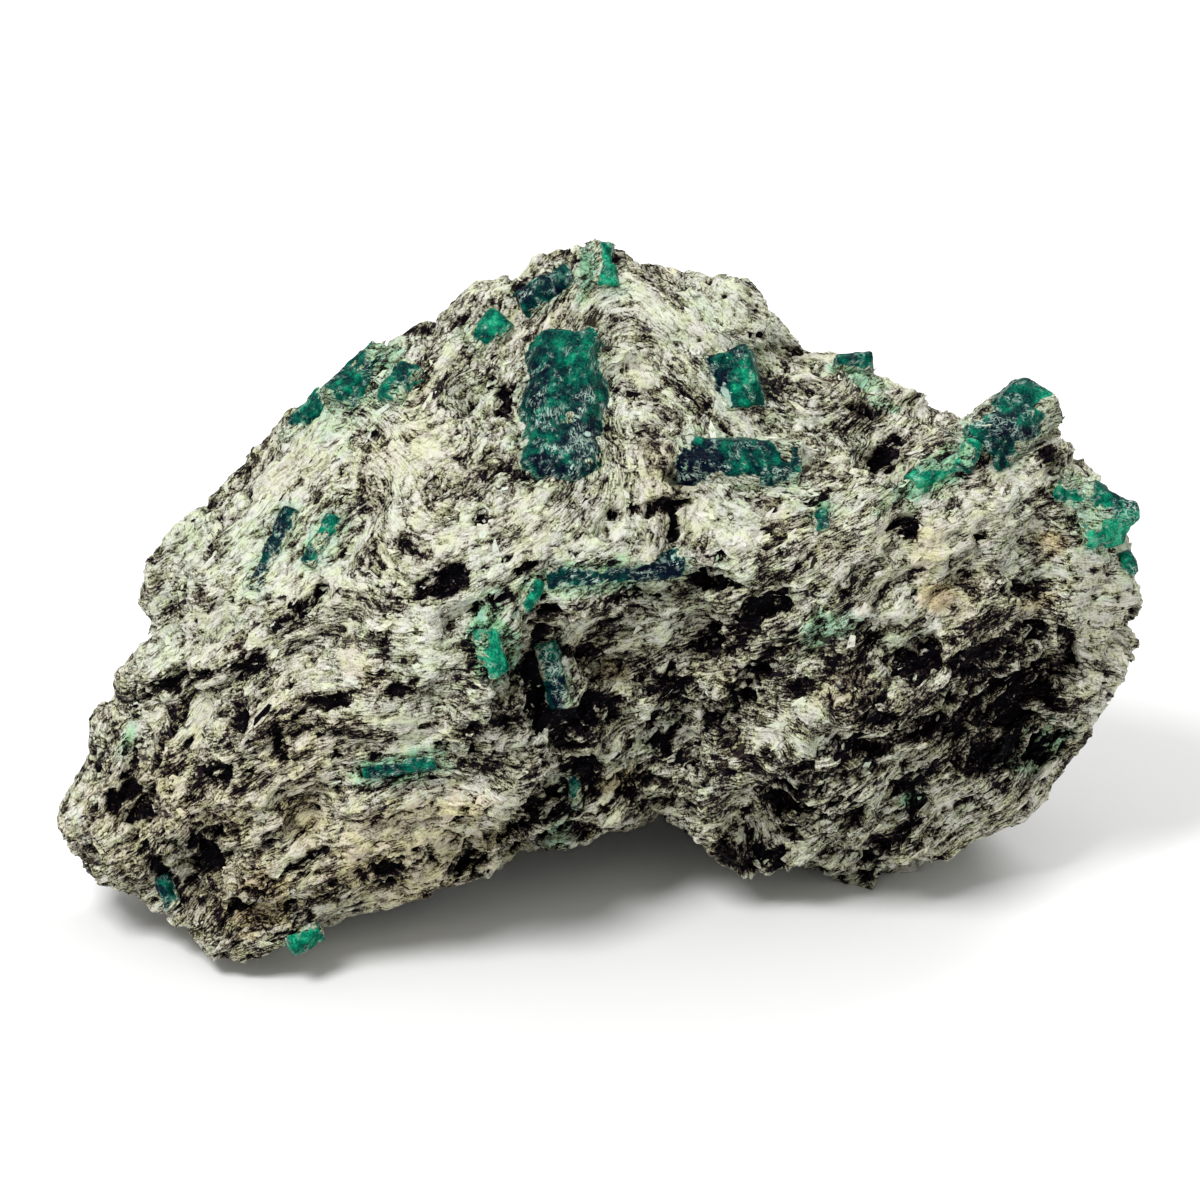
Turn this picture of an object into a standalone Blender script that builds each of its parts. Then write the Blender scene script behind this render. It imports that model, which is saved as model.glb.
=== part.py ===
"""Emerald crystals in a block of mica schist: the schist is one solid, and each crystal is one of its own.

Metres, +Z up. The block rests on its flat contact pads at z = 0, with the middle of its footprint at the
origin, its longest side along X and its crystal face towards -Y. Its form is laid out in millimetres on a
drawing seen from the front and VIEW_TILT above the horizon: across is +X, rise is up the drawing and
toward is out of it, and the front left foot is at rise 0, toward 0.
"""

import math
from collections import namedtuple

import bmesh
import bpy
import numpy as np
from mathutils import Matrix, Vector, noise
from mathutils.bvhtree import BVHTree

MM = 0.001
VIEW_TILT = math.radians(25)

# The outline of the block on the drawing, anticlockwise from the right: (across, rise)
OUTLINE_CENTRE = (0.0, 33.0)
OUTLINE = [
    (45.0, 33.0), (44.6, 36.0), (43.6, 38.6), (41.6, 40.6), (39.6, 42.4), (38.4, 43.4), (37.4, 45.6),
    (34.0, 46.2), (30.5, 45.8), (28.4, 46.6), (26.0, 48.3), (23.3, 49.6), (21.0, 51.4), (18.0, 51.9),
    (16.4, 52.0), (15.0, 54.0), (13.0, 56.4), (11.0, 57.3), (8.3, 57.0), (5.0, 58.3), (1.6, 60.0),
    (-1.7, 60.5), (-4.5, 59.5), (-7.0, 57.7), (-10.0, 56.7), (-12.6, 54.6), (-16.7, 52.6), (-20.0, 50.0),
    (-25.0, 46.4), (-28.4, 43.2), (-31.7, 39.9), (-35.0, 36.6), (-37.0, 34.2), (-38.0, 30.4), (-37.3, 29.2),
    (-39.0, 27.2), (-40.6, 24.6), (-41.9, 21.2), (-43.0, 17.6), (-44.9, 14.2), (-45.1, 12.2), (-43.6, 8.8),
    (-41.2, 6.8), (-38.2, 6.3), (-35.0, 4.2), (-33.2, 3.5), (-33.3, 1.5), (-31.4, 0.2), (-29.6, 0.0),
    (-25.0, 1.0), (-21.6, 3.2), (-16.7, 4.6), (-13.0, 6.0), (-9.4, 6.4), (-7.4, 8.9), (-3.0, 10.4),
    (2.4, 11.6), (4.4, 13.1), (6.2, 12.4), (8.2, 10.4), (9.8, 8.2), (12.0, 7.4), (16.6, 7.8), (19.0, 6.8),
    (23.0, 6.2), (27.0, 7.4), (31.0, 10.2), (36.4, 13.0), (38.6, 16.2), (41.4, 20.8), (43.6, 24.0),
    (44.8, 28.4),
]
# How far towards the viewer the outline itself lies: (degrees anticlockwise from the right, toward)
RIM = [
    (-180, -3.0), (-160, -7.0), (-150, -6.0), (-139, -1.0), (-132, 1.0), (-120, -0.5), (-106, -4.0),
    (-78, -6.0), (-66, -6.0), (-50, -11.0), (-36, -13.5), (-18, -13.0), (0, -11.0), (20, -6.0),
    (50, -3.0), (90, -2.0), (130, -3.0), (155, -4.0), (180, -3.0),
]
# The visible face and the hidden back, as depths at a few points: (across, rise, toward)
FRONT = [
    (-40, 25, 0), (-31, 33, 5.5), (-22, 42, 6), (-10, 50, 4.5), (0, 54, 2.5), (-3, 46.5, 7.5), (9, 51, 3.5),
    (13, 43, 7), (22, 45, 3.5), (31, 41.5, 5), (40, 37.5, 2.5), (-41, 15, 4.5), (-34, 24, 11),
    (-25, 27.5, 13), (-15, 32.5, 13.5), (-6, 34.5, 14), (3, 36, 12.5), (11, 35.5, 11), (18, 37.5, 10),
    (26, 37, 9), (35, 33, 6.5), (-36, 11, 8.5), (-29, 6, 7.5), (-27, 15, 13), (-18, 10, 9), (-15, 20, 14.5),
    (-8, 15, 10), (-8, 25, 13.5), (-2.5, 20, 6.5), (2, 26, 6.5), (4, 18, 2), (8, 25, 6), (13, 14, 3),
    (16, 24, 8.5), (24, 18, 8), (25, 28, 10), (24, 10, -2), (34, 24, 6.5), (34, 16, 0.5), (41, 28, 1.5),
]
BACK = [
    (-35, 22, -20), (-25, 35, -21), (-12, 45, -28), (2, 51, -23), (15, 44, -31), (32, 37, -24),
    (-30, 10, -30), (-14, 26, -32), (9, 29, -41), (30, 22, -35), (-9, 12, -42), (14, 11, -40),
]
FRONT_SQUARENESS = 3.2  # exponent of the roll from the outline to the face: 2 is round, more is blockier
BACK_SQUARENESS = 2.6
SPOKES = 160
RINGS = 26
OUTLINE_DIRECTIONS = 150  # in which the broken surface is pressed to the outline
OUTLINE_MARGIN = 0.4  # what thinning the mesh to facets takes off again

# The underside clears the ground except at the feet, which stand on flat pads: (x, y) of their middles
FEET = [(-28.5, 4.5), (23.0, 17.0), (-13.0, 34.0), (13.0, 38.0)]
FOOT_RADIUS = 6.5
BASE_CLEARANCE = 2.4
BASE_UNEVENNESS = (6.0, 1.2)  # (wavelength, height)
FOOT_DROP = 4.4
BASE_BLEND = 0.8

# Surface relief in millimetres
BODY_VOXEL = 0.9
LUMPS = [(16.0, 1.3), (7.0, 0.8), (3.6, 0.4)]  # (wavelength, height)
FOLIATION = Vector((-0.30, -0.52, 0.80)).normalized()  # across the mica layers
PLATE_LENGTH = 9.0  # the schist breaks into plates that lie along its layers
PLATE_THICKNESS = 4.2
PLATE_WARP = 0.45  # how bent the plates are, as a share of their size
PLATE_HEIGHT = 2.6  # between a plate left standing and its broken out neighbour
PLATE_CRACK = (0.16, 0.7)  # half width as a share of a plate, and depth

# Hollows where grains have fallen out: (across, rise, radius, depth)
PITS = [
    (-3.2, 14.0, 2.6, 2.2), (0.8, 23.0, 2.8, 2.2), (11.6, 9.8, 3.2, 1.8), (33.2, 22.5, 4.2, 1.9),
    (25.6, 26.0, 2.6, 1.5), (24.0, 42.6, 2.3, 2.6), (-32.8, 10.4, 2.2, 2.3), (-38.8, 13.6, 2.0, 1.9),
    (-36.2, 8.0, 1.6, 1.5), (17.5, 15.5, 3.0, 1.3), (29.5, 12.5, 2.6, 1.2), (-12.5, 23.0, 2.0, 1.1),
    (13.5, 30.5, 2.4, 1.1), (-24.5, 19.0, 1.8, 1.0), (38.6, 24.5, 2.0, 1.3), (30.8, 33.5, 2.2, 0.9),
]
# Open partings between the layers: (across, rise) of both ends, half width, depth
PARTINGS = [
    ((-36.5, 22.0), (-28.5, 24.6), 0.9, 1.5), ((-28.5, 24.6), (-20.6, 30.0), 0.9, 1.7),
    ((-38.0, 29.6), (-29.0, 29.2), 0.8, 1.3), ((-23.5, 31.4), (-18.6, 38.5), 0.7, 1.2),
    ((-12.0, 29.4), (-4.5, 32.6), 0.8, 1.4), ((-4.5, 32.6), (9.5, 31.6), 0.9, 1.5),
    ((-4.6, 31.0), (-3.4, 21.0), 1.1, 2.2), ((-3.4, 21.0), (-1.8, 12.5), 1.0, 2.0),
    ((8.2, 27.5), (6.6, 18.5), 1.2, 2.4), ((10.0, 20.5), (17.5, 25.5), 0.9, 1.4),
    ((25.4, 13.6), (22.8, 7.8), 0.8, 1.6), ((12.5, 13.5), (24.5, 16.5), 0.9, 1.3),
    ((24.5, 16.5), (38.0, 18.5), 0.9, 1.3), ((13.6, 51.0), (19.0, 51.2), 0.6, 1.2),
    ((17.6, 46.6), (23.0, 45.6), 0.7, 1.4), ((18.0, 34.5), (29.0, 30.5), 0.8, 1.0),
    ((-30.5, 4.0), (-20.0, 5.6), 0.7, 1.0), ((-24.0, 11.6), (-10.0, 12.4), 0.8, 1.1),
]
BLOCK_TRIANGLES = 5200

# Each crystal lies along the face, or leans out of it: (across, rise) of its middle, length, width across
# the flats, turn of its long axis on the drawing and lean out of the face in degrees, and how far its
# upper flat stands proud
Crystal = namedtuple("Crystal", "across rise length width turn lean proud")
EMERALDS = {
    "emerald_great_prism": [Crystal(-2.9, 46.3, 14.6, 6.9, 86, -5, 2.4)],
    "emerald_crest_dark": [Crystal(-4.5, 56.6, 5.4, 3.1, 30, 0, 0.8)],
    "emerald_crest_bright": [Crystal(0.3, 58.4, 4.0, 2.4, 100, 0, 0.9)],
    "emerald_crest_left": [Crystal(-9.2, 53.0, 3.6, 2.8, 42, 0, 0.9)],
    "emerald_ridge_upper": [Crystal(-19.7, 49.4, 6.4, 4.2, 48, 0, 1.3)],
    "emerald_ridge_inner": [Crystal(-16.5, 48.6, 3.6, 2.9, 62, 0, 0.8)],
    "emerald_ridge_lower": [Crystal(-24.4, 45.8, 5.4, 3.0, 50, 0, 0.9)],
    "emerald_slab_dark": [Crystal(-26.8, 34.9, 8.0, 2.3, 68, 0, 0.55)],
    "emerald_slab_green": [Crystal(-22.9, 35.7, 5.0, 1.9, 62, 0, 0.55)],
    "emerald_twin_upper": [Crystal(10.9, 48.7, 5.4, 4.8, 104, 6, 2.2)],
    "emerald_twin_lower": [Crystal(11.4, 42.1, 10.4, 4.5, -2, 0, 1.8)],
    "emerald_bead": [Crystal(18.3, 37.2, 1.9, 1.5, 100, 0, 0.6)],
    "emerald_skyline": [Crystal(21.2, 50.4, 3.2, 1.9, 4, 0, 0.9)],
    "emerald_horn": [Crystal(33.6, 44.8, 8.8, 5.0, 36, 8, 3.0)],
    "emerald_chain": [
        Crystal(28.7, 41.4, 3.4, 1.9, 28, 0, 0.8),
        Crystal(26.7, 40.3, 3.0, 2.3, 34, 0, 2.0),
        Crystal(30.5, 42.7, 3.0, 1.8, 58, 0, 0.7),
    ],
    "emerald_east_cluster": [
        Crystal(40.0, 39.3, 4.6, 3.2, -30, 10, 1.6),
        Crystal(42.6, 38.1, 3.8, 3.0, -20, 8, 1.5),
        Crystal(41.8, 36.6, 4.8, 3.0, 8, 4, 1.2),
    ],
    "emerald_east_bead": [Crystal(43.9, 33.8, 2.2, 1.5, 110, 0, 0.8)],
    "emerald_seam_long": [Crystal(1.4, 33.0, 11.8, 2.4, 6, 0, 0.7)],
    "emerald_seam_green": [Crystal(-5.9, 31.2, 3.2, 2.0, 58, 0, 0.7)],
    "emerald_seam_drop": [Crystal(-8.7, 26.4, 4.2, 2.3, 108, 0, 0.8)],
    "emerald_cavity_blade": [Crystal(-3.7, 24.6, 6.0, 1.9, 104, 0, 0.7)],
    "emerald_cavity_needle": [Crystal(-2.1, 15.6, 4.4, 1.2, 96, 0, 0.5)],
    "emerald_thin_west": [Crystal(-16.4, 16.9, 6.2, 1.4, 8, 0, 0.45)],
    "emerald_foot": [Crystal(-24.2, 2.6, 3.2, 2.0, 30, 0, 0.8)],
    "emerald_foot_west": [Crystal(-35.8, 6.6, 3.0, 1.5, 112, 0, 0.6)],
}
SIGHT_REACH = 60
FACING_BIAS = 0.45  # how much a crystal's flat faces the viewer rather than along the block's normal
CRYSTAL_GAP = 0.3  # between a crystal and its pocket in the schist
CRYSTAL_BEVEL = 0.07  # of the width
LONG_CRYSTAL = 8.0  # a crystal longer than this is uneven along its length too
CRYSTAL_WOBBLE = 0.05  # how unevenly the flats grew, as a share of the width

SCHIST_COLOUR = (0.34, 0.33, 0.27, 1.0)
EMERALD_COLOUR = (0.01, 0.24, 0.13, 1.0)


def clear_scene():
    for obj in list(bpy.data.objects):
        bpy.data.objects.remove(obj)


def material(name, colour, roughness):
    made = bpy.data.materials.new(name)
    made.use_nodes = True
    shader = made.node_tree.nodes["Principled BSDF"]
    shader.inputs["Base Color"].default_value = colour
    shader.inputs["Roughness"].default_value = roughness
    shader.inputs["Metallic"].default_value = 0.0
    return made


def on_drawing(point):
    """(across, rise, toward) of a point in millimetres from the front left foot."""
    sin, cos = math.sin(VIEW_TILT), math.cos(VIEW_TILT)
    return point.x, point.y * sin + point.z * cos, point.z * sin - point.y * cos


def off_drawing(across, rise, toward):
    """The point in millimetres from the front left foot that lies there on the drawing."""
    sin, cos = math.sin(VIEW_TILT), math.cos(VIEW_TILT)
    return Vector((across, rise * sin - toward * cos, rise * cos + toward * sin))


def outline_radius(angle):
    """How far the outline is from its centre in this direction."""
    ahead = Vector((math.cos(angle), math.sin(angle)))
    centre = Vector(OUTLINE_CENTRE)
    corners = [Vector(corner) - centre for corner in OUTLINE]
    for start, end in zip(corners, corners[1:] + corners[:1]):
        if ahead.cross(start) <= 0.0 < ahead.cross(end) and ahead.dot(start + end) > 0.0:
            return start.cross(end) / ahead.cross(end - start)
    raise ValueError("the outline doesn't go round its centre")


def depth_sheet(samples):
    """A smooth function of (across, rise) through the sampled depths: a thin-plate spline."""
    places = np.array([sample[:2] for sample in samples], float)
    depths = np.array([sample[2] for sample in samples], float)

    def bending(distance):
        return np.where(distance > 0, distance**2 * np.log(np.maximum(distance, 1e-9)), 0.0)

    count = len(samples)
    apart = np.linalg.norm(places[:, None] - places[None], axis=2)
    plane = np.column_stack([np.ones(count), places])
    system = np.block([[bending(apart), plane], [plane.T, np.zeros((3, 3))]])
    weights = np.linalg.solve(system, np.append(depths, np.zeros(3)))

    def depth(across, rise):
        distance = np.linalg.norm(places - (across, rise), axis=1)
        flat = weights[count] + weights[count + 1] * across + weights[count + 2] * rise
        return float(bending(distance) @ weights[:count] + flat)

    return depth


def lifted_off_ground(point):
    """The point, raised where it would be below the underside, which dips to the ground at the feet."""
    dip = sum(
        math.exp(-((point.x - x) ** 2 + (point.y - y) ** 2) / FOOT_RADIUS**2) for x, y in FEET
    )
    wavelength, height = BASE_UNEVENNESS
    uneven = height * noise.noise(point / wavelength) * max(1 - dip, 0.0)
    base = BASE_CLEARANCE + uneven - FOOT_DROP * min(dip, 1.0)
    over = (point.z - base) / BASE_BLEND
    if over > 8:
        return point
    return Vector((point.x, point.y, base + BASE_BLEND * math.log1p(math.exp(over))))


def body_mesh():
    """The block's smooth body: a front and a back sheet that meet along the outline."""
    front, back = depth_sheet(FRONT), depth_sheet(BACK)
    rim_angles, rim_depths = zip(*RIM)
    mesh = bmesh.new()
    sheets = []
    for sheet, squareness in ((front, FRONT_SQUARENESS), (back, BACK_SQUARENESS)):
        rows = []
        for ring in range(RINGS + 1):
            share = math.sin(math.pi / 2 * ring / RINGS)
            dome = max(0.0, 1 - share**squareness) ** (1 / squareness)
            row = []
            for spoke in range(1 if ring == 0 else SPOKES):
                angle = -math.pi + 2 * math.pi * spoke / SPOKES
                reach = share * outline_radius(angle)
                across = OUTLINE_CENTRE[0] + reach * math.cos(angle)
                rise = OUTLINE_CENTRE[1] + reach * math.sin(angle)
                rim = float(np.interp(math.degrees(angle), rim_angles, rim_depths))
                toward = rim + (sheet(across, rise) - rim) * dome
                row.append(off_drawing(across, rise, toward))
            rows.append(row)
        sheets.append(rows)
    rim_verts = [mesh.verts.new(point) for point in sheets[0][-1]]
    for rows, facing in zip(sheets, (1, -1)):
        grid = [[mesh.verts.new(point) for point in row] for row in rows[:-1]] + [rim_verts]
        for inner, outer in zip(grid, grid[1:]):
            for spoke in range(SPOKES):
                after = (spoke + 1) % SPOKES
                corners = [inner[0]] if len(inner) == 1 else [inner[after], inner[spoke]]
                corners += [outer[spoke], outer[after]]
                mesh.faces.new(corners[::facing])
    bmesh.ops.recalc_face_normals(mesh, faces=mesh.faces)
    return mesh


def fade(distance, radius):
    """1 at no distance, falling smoothly to 0 at the radius."""
    share = min(distance / radius, 1.0)
    return (1 - share * share) ** 2


def hollow_depth(across, rise):
    """How deep the pits and partings cut here, in millimetres."""
    here = Vector((across, rise))
    depth = 0.0
    for pit_across, pit_rise, radius, deep in PITS:
        depth = max(depth, deep * fade((here - Vector((pit_across, pit_rise))).length, radius * 1.3))
    for start, end, half_width, deep in PARTINGS:
        start, run = Vector(start), Vector(end) - Vector(start)
        along = max(0.0, min(1.0, (here - start).dot(run) / run.length_squared))
        depth = max(depth, deep * fade((here - start - run * along).length, half_width * 2.2))
    return depth


def plate_relief(point, normal):
    """The steps and cracks between the plates, which show most where the face cuts across the layers."""
    stretch = PLATE_LENGTH / PLATE_THICKNESS - 1
    place = (point + FOLIATION * point.dot(FOLIATION) * stretch) / PLATE_LENGTH
    place += PLATE_WARP * Vector([noise.noise(place + Vector((0, 0, 40 * axis))) for axis in range(3)])
    distances, centres = noise.voronoi(place)
    shown = 1 - 0.65 * abs(normal.dot(FOLIATION))
    half_width, depth = PLATE_CRACK
    crack = depth * fade(distances[1] - distances[0], half_width)
    return (PLATE_HEIGHT * (noise.cell(centres[0] * 9.7) - 0.5) - crack) * shown


def relief(point, normal):
    """How far the broken surface stands out from the smooth body here, in millimetres."""
    height = sum(size * noise.noise(point / wave) for wave, size in LUMPS)
    height += plate_relief(point, normal)
    across, rise, _ = on_drawing(point)
    facing = on_drawing(normal)[2]
    return height - hollow_depth(across, rise) * max(0.0, min(1.0, 2 * facing + 0.4))


def press_to_outline(verts):
    """Stretches the broken surface on the drawing, so that it reaches the outline again everywhere."""
    centre = Vector(OUTLINE_CENTRE)
    step = 2 * math.pi / OUTLINE_DIRECTIONS
    directions = (np.arange(OUTLINE_DIRECTIONS) + 0.5) * step - math.pi
    places = [on_drawing(vert.co) for vert in verts]
    offsets = [Vector(place[:2]) - centre for place in places]
    angles = [math.atan2(offset.y, offset.x) for offset in offsets]
    reached = np.zeros(OUTLINE_DIRECTIONS)
    for offset, angle in zip(offsets, angles):
        direction = int((angle + math.pi) / step) % OUTLINE_DIRECTIONS
        reached[direction] = max(reached[direction], offset.length)
    wanted = np.array([outline_radius(angle) + OUTLINE_MARGIN for angle in directions])
    stretches = wanted / reached
    stretches = (np.roll(stretches, 1) + 2 * stretches + np.roll(stretches, -1)) / 4
    for vert, place, offset, angle in zip(verts, places, offsets, angles):
        reach = np.interp(angle, directions, reached, period=2 * math.pi)
        stretch = np.interp(angle, directions, stretches, period=2 * math.pi)
        offset = offset * (1 + (stretch - 1) * min(offset.length / reach, 1.0) ** 3)
        vert.co = off_drawing(*(centre + offset), place[2])


def linked(name, mesh, look=None):
    """A new object of this bmesh, which is in millimetres from the front left foot."""
    data = bpy.data.meshes.new(name)
    mesh.to_mesh(data)
    mesh.free()
    obj = bpy.data.objects.new(name, data)
    bpy.context.scene.collection.objects.link(obj)
    if look:
        data.materials.append(look)
    return obj


def evaluated(obj):
    """The object's mesh with its modifiers applied, as a bmesh."""
    graph = bpy.context.evaluated_depsgraph_get()
    mesh = bmesh.new()
    mesh.from_mesh(obj.evaluated_get(graph).to_mesh())
    return mesh


def schist_mesh():
    """The block before its pockets and pads: the body, broken into lumps, ledges, pits and partings."""
    body = linked("body", body_mesh())
    remesh = body.modifiers.new("even grid", "REMESH")
    remesh.mode = "VOXEL"
    remesh.voxel_size = BODY_VOXEL
    mesh = evaluated(body)
    bpy.data.objects.remove(body)
    mesh.normal_update()
    moves = [vert.normal * relief(vert.co, vert.normal) for vert in mesh.verts]
    for vert, move in zip(mesh.verts, moves):
        vert.co += move
    every_axis = {"use_axis_x": True, "use_axis_y": True, "use_axis_z": True}
    bmesh.ops.smooth_vert(mesh, verts=mesh.verts, factor=0.25, **every_axis)
    press_to_outline(mesh.verts)
    for vert in mesh.verts:
        vert.co = lifted_off_ground(vert.co)
    rough = linked("rough", mesh)
    thinner = rough.modifiers.new("facets", "DECIMATE")
    triangles = sum(len(face.vertices) - 2 for face in rough.data.polygons)
    thinner.ratio = BLOCK_TRIANGLES / triangles
    mesh = evaluated(rough)
    bpy.data.objects.remove(rough)
    return mesh


def on_face(across, rise, surface):
    """Where the viewer sees the block's face on the drawing, or the nearest point to that line of sight."""
    place, _, _, _ = surface.ray_cast(off_drawing(across, rise, SIGHT_REACH), -off_drawing(0, 0, 1))
    if place is not None:
        return place
    line_of_sight = [off_drawing(across, rise, toward) for toward in range(-SIGHT_REACH, SIGHT_REACH)]
    return min(map(surface.find_nearest, line_of_sight), key=lambda found: found[3])[0]


def seat(crystal, eldest, surface):
    """The matrix that puts a crystal, made along Z with a flat to +X, on the block's face.

    Crystals grown together are at the depth of the eldest, and face as it does.
    """
    from_viewer = -off_drawing(0, 0, 1)
    root = on_face(eldest.across, eldest.rise, surface)
    place = off_drawing(crystal.across, crystal.rise, on_drawing(root)[2])
    around = [normal for _, normal, _, _ in surface.find_nearest_range(root, eldest.width * 0.9)]
    outward = (sum(around, Vector()).normalized() - from_viewer * FACING_BIAS).normalized()
    turn, lean = math.radians(crystal.turn), math.radians(crystal.lean)
    axis = off_drawing(math.cos(turn), math.sin(turn), 0)
    axis = (axis + from_viewer * axis.dot(outward) / -from_viewer.dot(outward)).normalized()
    axis = axis * math.cos(lean) + outward * math.sin(lean)
    side = axis.cross(outward).normalized()
    up = side.cross(axis).normalized()
    middle = place + outward * (crystal.proud - crystal.width / 2)
    return Matrix.Translation(middle) @ Matrix((up, side, axis)).transposed().to_4x4()


def prism_mesh(crystal, grown=0.0, seed=0):
    """A six-sided beryl prism along Z with uneven flats, worn edges and a broken end, grown by a margin."""
    mesh = bmesh.new()
    corner_radius = crystal.width / 2 / math.cos(math.pi / 6)
    rows = []
    bands = 3 if crystal.length > LONG_CRYSTAL else 1
    for band in range(bands + 1):
        share = band / bands
        row = []
        for corner in range(6):
            angle = math.pi / 6 + corner * math.pi / 3
            wobble = noise.noise(Vector((corner * 1.7, share * 1.5 + seed, seed * 0.37)))
            radius = corner_radius * (1 + 2 * CRYSTAL_WOBBLE * wobble)
            height = (share - 0.5) * crystal.length
            if band in (0, bands):
                height += 1.2 * CRYSTAL_WOBBLE * crystal.width * math.cos(angle + band + seed)
            row.append(Vector((radius * math.cos(angle), radius * math.sin(angle), height)))
        rows.append(row)
    grid = [[mesh.verts.new(point) for point in row] for row in rows]
    for lower, upper in zip(grid, grid[1:]):
        for corner in range(6):
            after = (corner + 1) % 6
            mesh.faces.new((lower[corner], lower[after], upper[after], upper[corner]))
    mesh.faces.new(grid[0][::-1])
    mesh.faces.new(grid[-1])
    mesh.normal_update()
    if not grown:
        edges = [edge for edge in mesh.edges if edge.calc_face_angle() > math.radians(30)]
        bmesh.ops.bevel(
            mesh, geom=edges, offset=CRYSTAL_BEVEL * crystal.width, segments=1, affect="EDGES"
        )
    else:
        reach = (crystal.length / 2 + grown) / (crystal.length / 2)
        spread = (crystal.width / 2 + grown) / (crystal.width / 2)
        bmesh.ops.scale(mesh, verts=mesh.verts, vec=(spread, spread, reach))
    bmesh.ops.triangulate(mesh, faces=mesh.faces)
    return mesh


def join_with(target, cutter, operation):
    step = target.modifiers.new(operation.lower(), "BOOLEAN")
    step.operation = operation
    step.solver = "EXACT"
    step.object = cutter


def hide(obj):
    obj.hide_render = True
    obj.display_type = "WIRE"
    return obj


def ground_slab(size=200.0, depth=20.0):
    """A cutter that levels the feet at z = 0."""
    mesh = bmesh.new()
    bmesh.ops.create_cube(mesh, size=1.0)
    bmesh.ops.scale(mesh, verts=mesh.verts, vec=(size, size, depth))
    bmesh.ops.translate(mesh, verts=mesh.verts, vec=(0, 0, -depth / 2))
    return hide(linked("cut_ground", mesh))


def crystal_solids(name, crystals, block_surface, schist, beryl, seed):
    """The crystals of one node, joined into one solid, and their pockets in the schist."""
    for number, crystal in enumerate(crystals):
        place = seat(crystal, crystals[0], block_surface)
        pocket = hide(linked(f"pocket_{name}_{number}", prism_mesh(crystal, CRYSTAL_GAP, seed + number)))
        pocket.matrix_world = place
        join_with(schist, pocket, "DIFFERENCE")
        own_name = f"{name}_{number}" if number else name
        solid = linked(own_name, prism_mesh(crystal, 0.0, seed + number), beryl)
        solid.matrix_world = place
        if number:
            join_with(bpy.data.objects[name], hide(solid), "UNION")


def put_at_origin():
    """Scales millimetres to metres, and centres the footprint of the whole specimen on the origin."""
    bpy.context.view_layer.update()
    graph = bpy.context.evaluated_depsgraph_get()
    shown = [obj.evaluated_get(graph) for obj in bpy.data.objects if not obj.hide_render]
    points = np.array([obj.matrix_world @ vert.co for obj in shown for vert in obj.data.vertices])
    low, high = points.min(axis=0), points.max(axis=0)
    middle = Vector(((low[0] + high[0]) / 2, (low[1] + high[1]) / 2, low[2]))
    to_metres = Matrix.Scale(MM, 4) @ Matrix.Translation(-middle)
    for obj in bpy.data.objects:
        obj.matrix_world = to_metres @ obj.matrix_world


def build():
    clear_scene()
    mica = material("mica_schist", SCHIST_COLOUR, 0.6)
    beryl = material("emerald", EMERALD_COLOUR, 0.25)
    block = schist_mesh()
    block_surface = BVHTree.FromBMesh(block)
    schist = linked("schist_matrix", block, mica)
    join_with(schist, ground_slab(), "DIFFERENCE")
    for seed, (name, crystals) in enumerate(EMERALDS.items()):
        crystal_solids(name, crystals, block_surface, schist, beryl, seed)
    put_at_origin()


build()
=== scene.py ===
"""Emeralds in mica schist: the looks of the specimen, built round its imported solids.

The schist is a finely broken block dressed in tens of thousands of mica flakes, which lie along its wavy
layers. Each emerald is a rough prism of its own. Places are given in millimetres on a drawing seen from
the front and VIEW_TILT above the horizon: across is +X, rise is up the drawing and toward is out of it.
"""

import math
from collections import namedtuple

import bmesh
import bpy
import numpy as np
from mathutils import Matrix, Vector
from mathutils.bvhtree import BVHTree

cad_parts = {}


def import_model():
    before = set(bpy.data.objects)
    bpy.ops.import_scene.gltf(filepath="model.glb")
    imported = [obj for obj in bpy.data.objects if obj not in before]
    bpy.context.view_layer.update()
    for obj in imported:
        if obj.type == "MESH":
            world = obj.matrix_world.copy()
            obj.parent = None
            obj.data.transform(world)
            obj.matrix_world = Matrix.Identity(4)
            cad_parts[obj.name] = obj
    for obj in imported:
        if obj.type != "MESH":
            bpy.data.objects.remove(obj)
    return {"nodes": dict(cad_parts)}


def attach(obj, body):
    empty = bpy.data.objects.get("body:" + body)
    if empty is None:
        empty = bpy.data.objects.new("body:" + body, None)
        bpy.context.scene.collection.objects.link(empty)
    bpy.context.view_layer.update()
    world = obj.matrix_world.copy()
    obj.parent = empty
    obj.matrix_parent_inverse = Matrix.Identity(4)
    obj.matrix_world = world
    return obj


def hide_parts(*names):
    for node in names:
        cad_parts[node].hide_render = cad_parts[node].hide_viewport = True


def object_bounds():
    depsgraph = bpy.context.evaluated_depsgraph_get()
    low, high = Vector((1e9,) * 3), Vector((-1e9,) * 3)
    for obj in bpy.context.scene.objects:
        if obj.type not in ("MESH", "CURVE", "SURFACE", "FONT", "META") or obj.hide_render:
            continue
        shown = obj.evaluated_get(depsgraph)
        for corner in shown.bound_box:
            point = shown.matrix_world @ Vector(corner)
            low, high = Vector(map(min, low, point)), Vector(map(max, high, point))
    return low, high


MM = 0.001

# The drawing
VIEW_TILT = math.radians(25)
FOOT = np.array((0.08, -22.60, 0.0))  # the drawing's origin, the front left foot, in the frame
ACROSS = np.array((1.0, 0.0, 0.0))
RISE = np.array((0.0, math.sin(VIEW_TILT), math.cos(VIEW_TILT)))
TOWARD = np.array((0.0, -math.cos(VIEW_TILT), math.sin(VIEW_TILT)))

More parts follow.
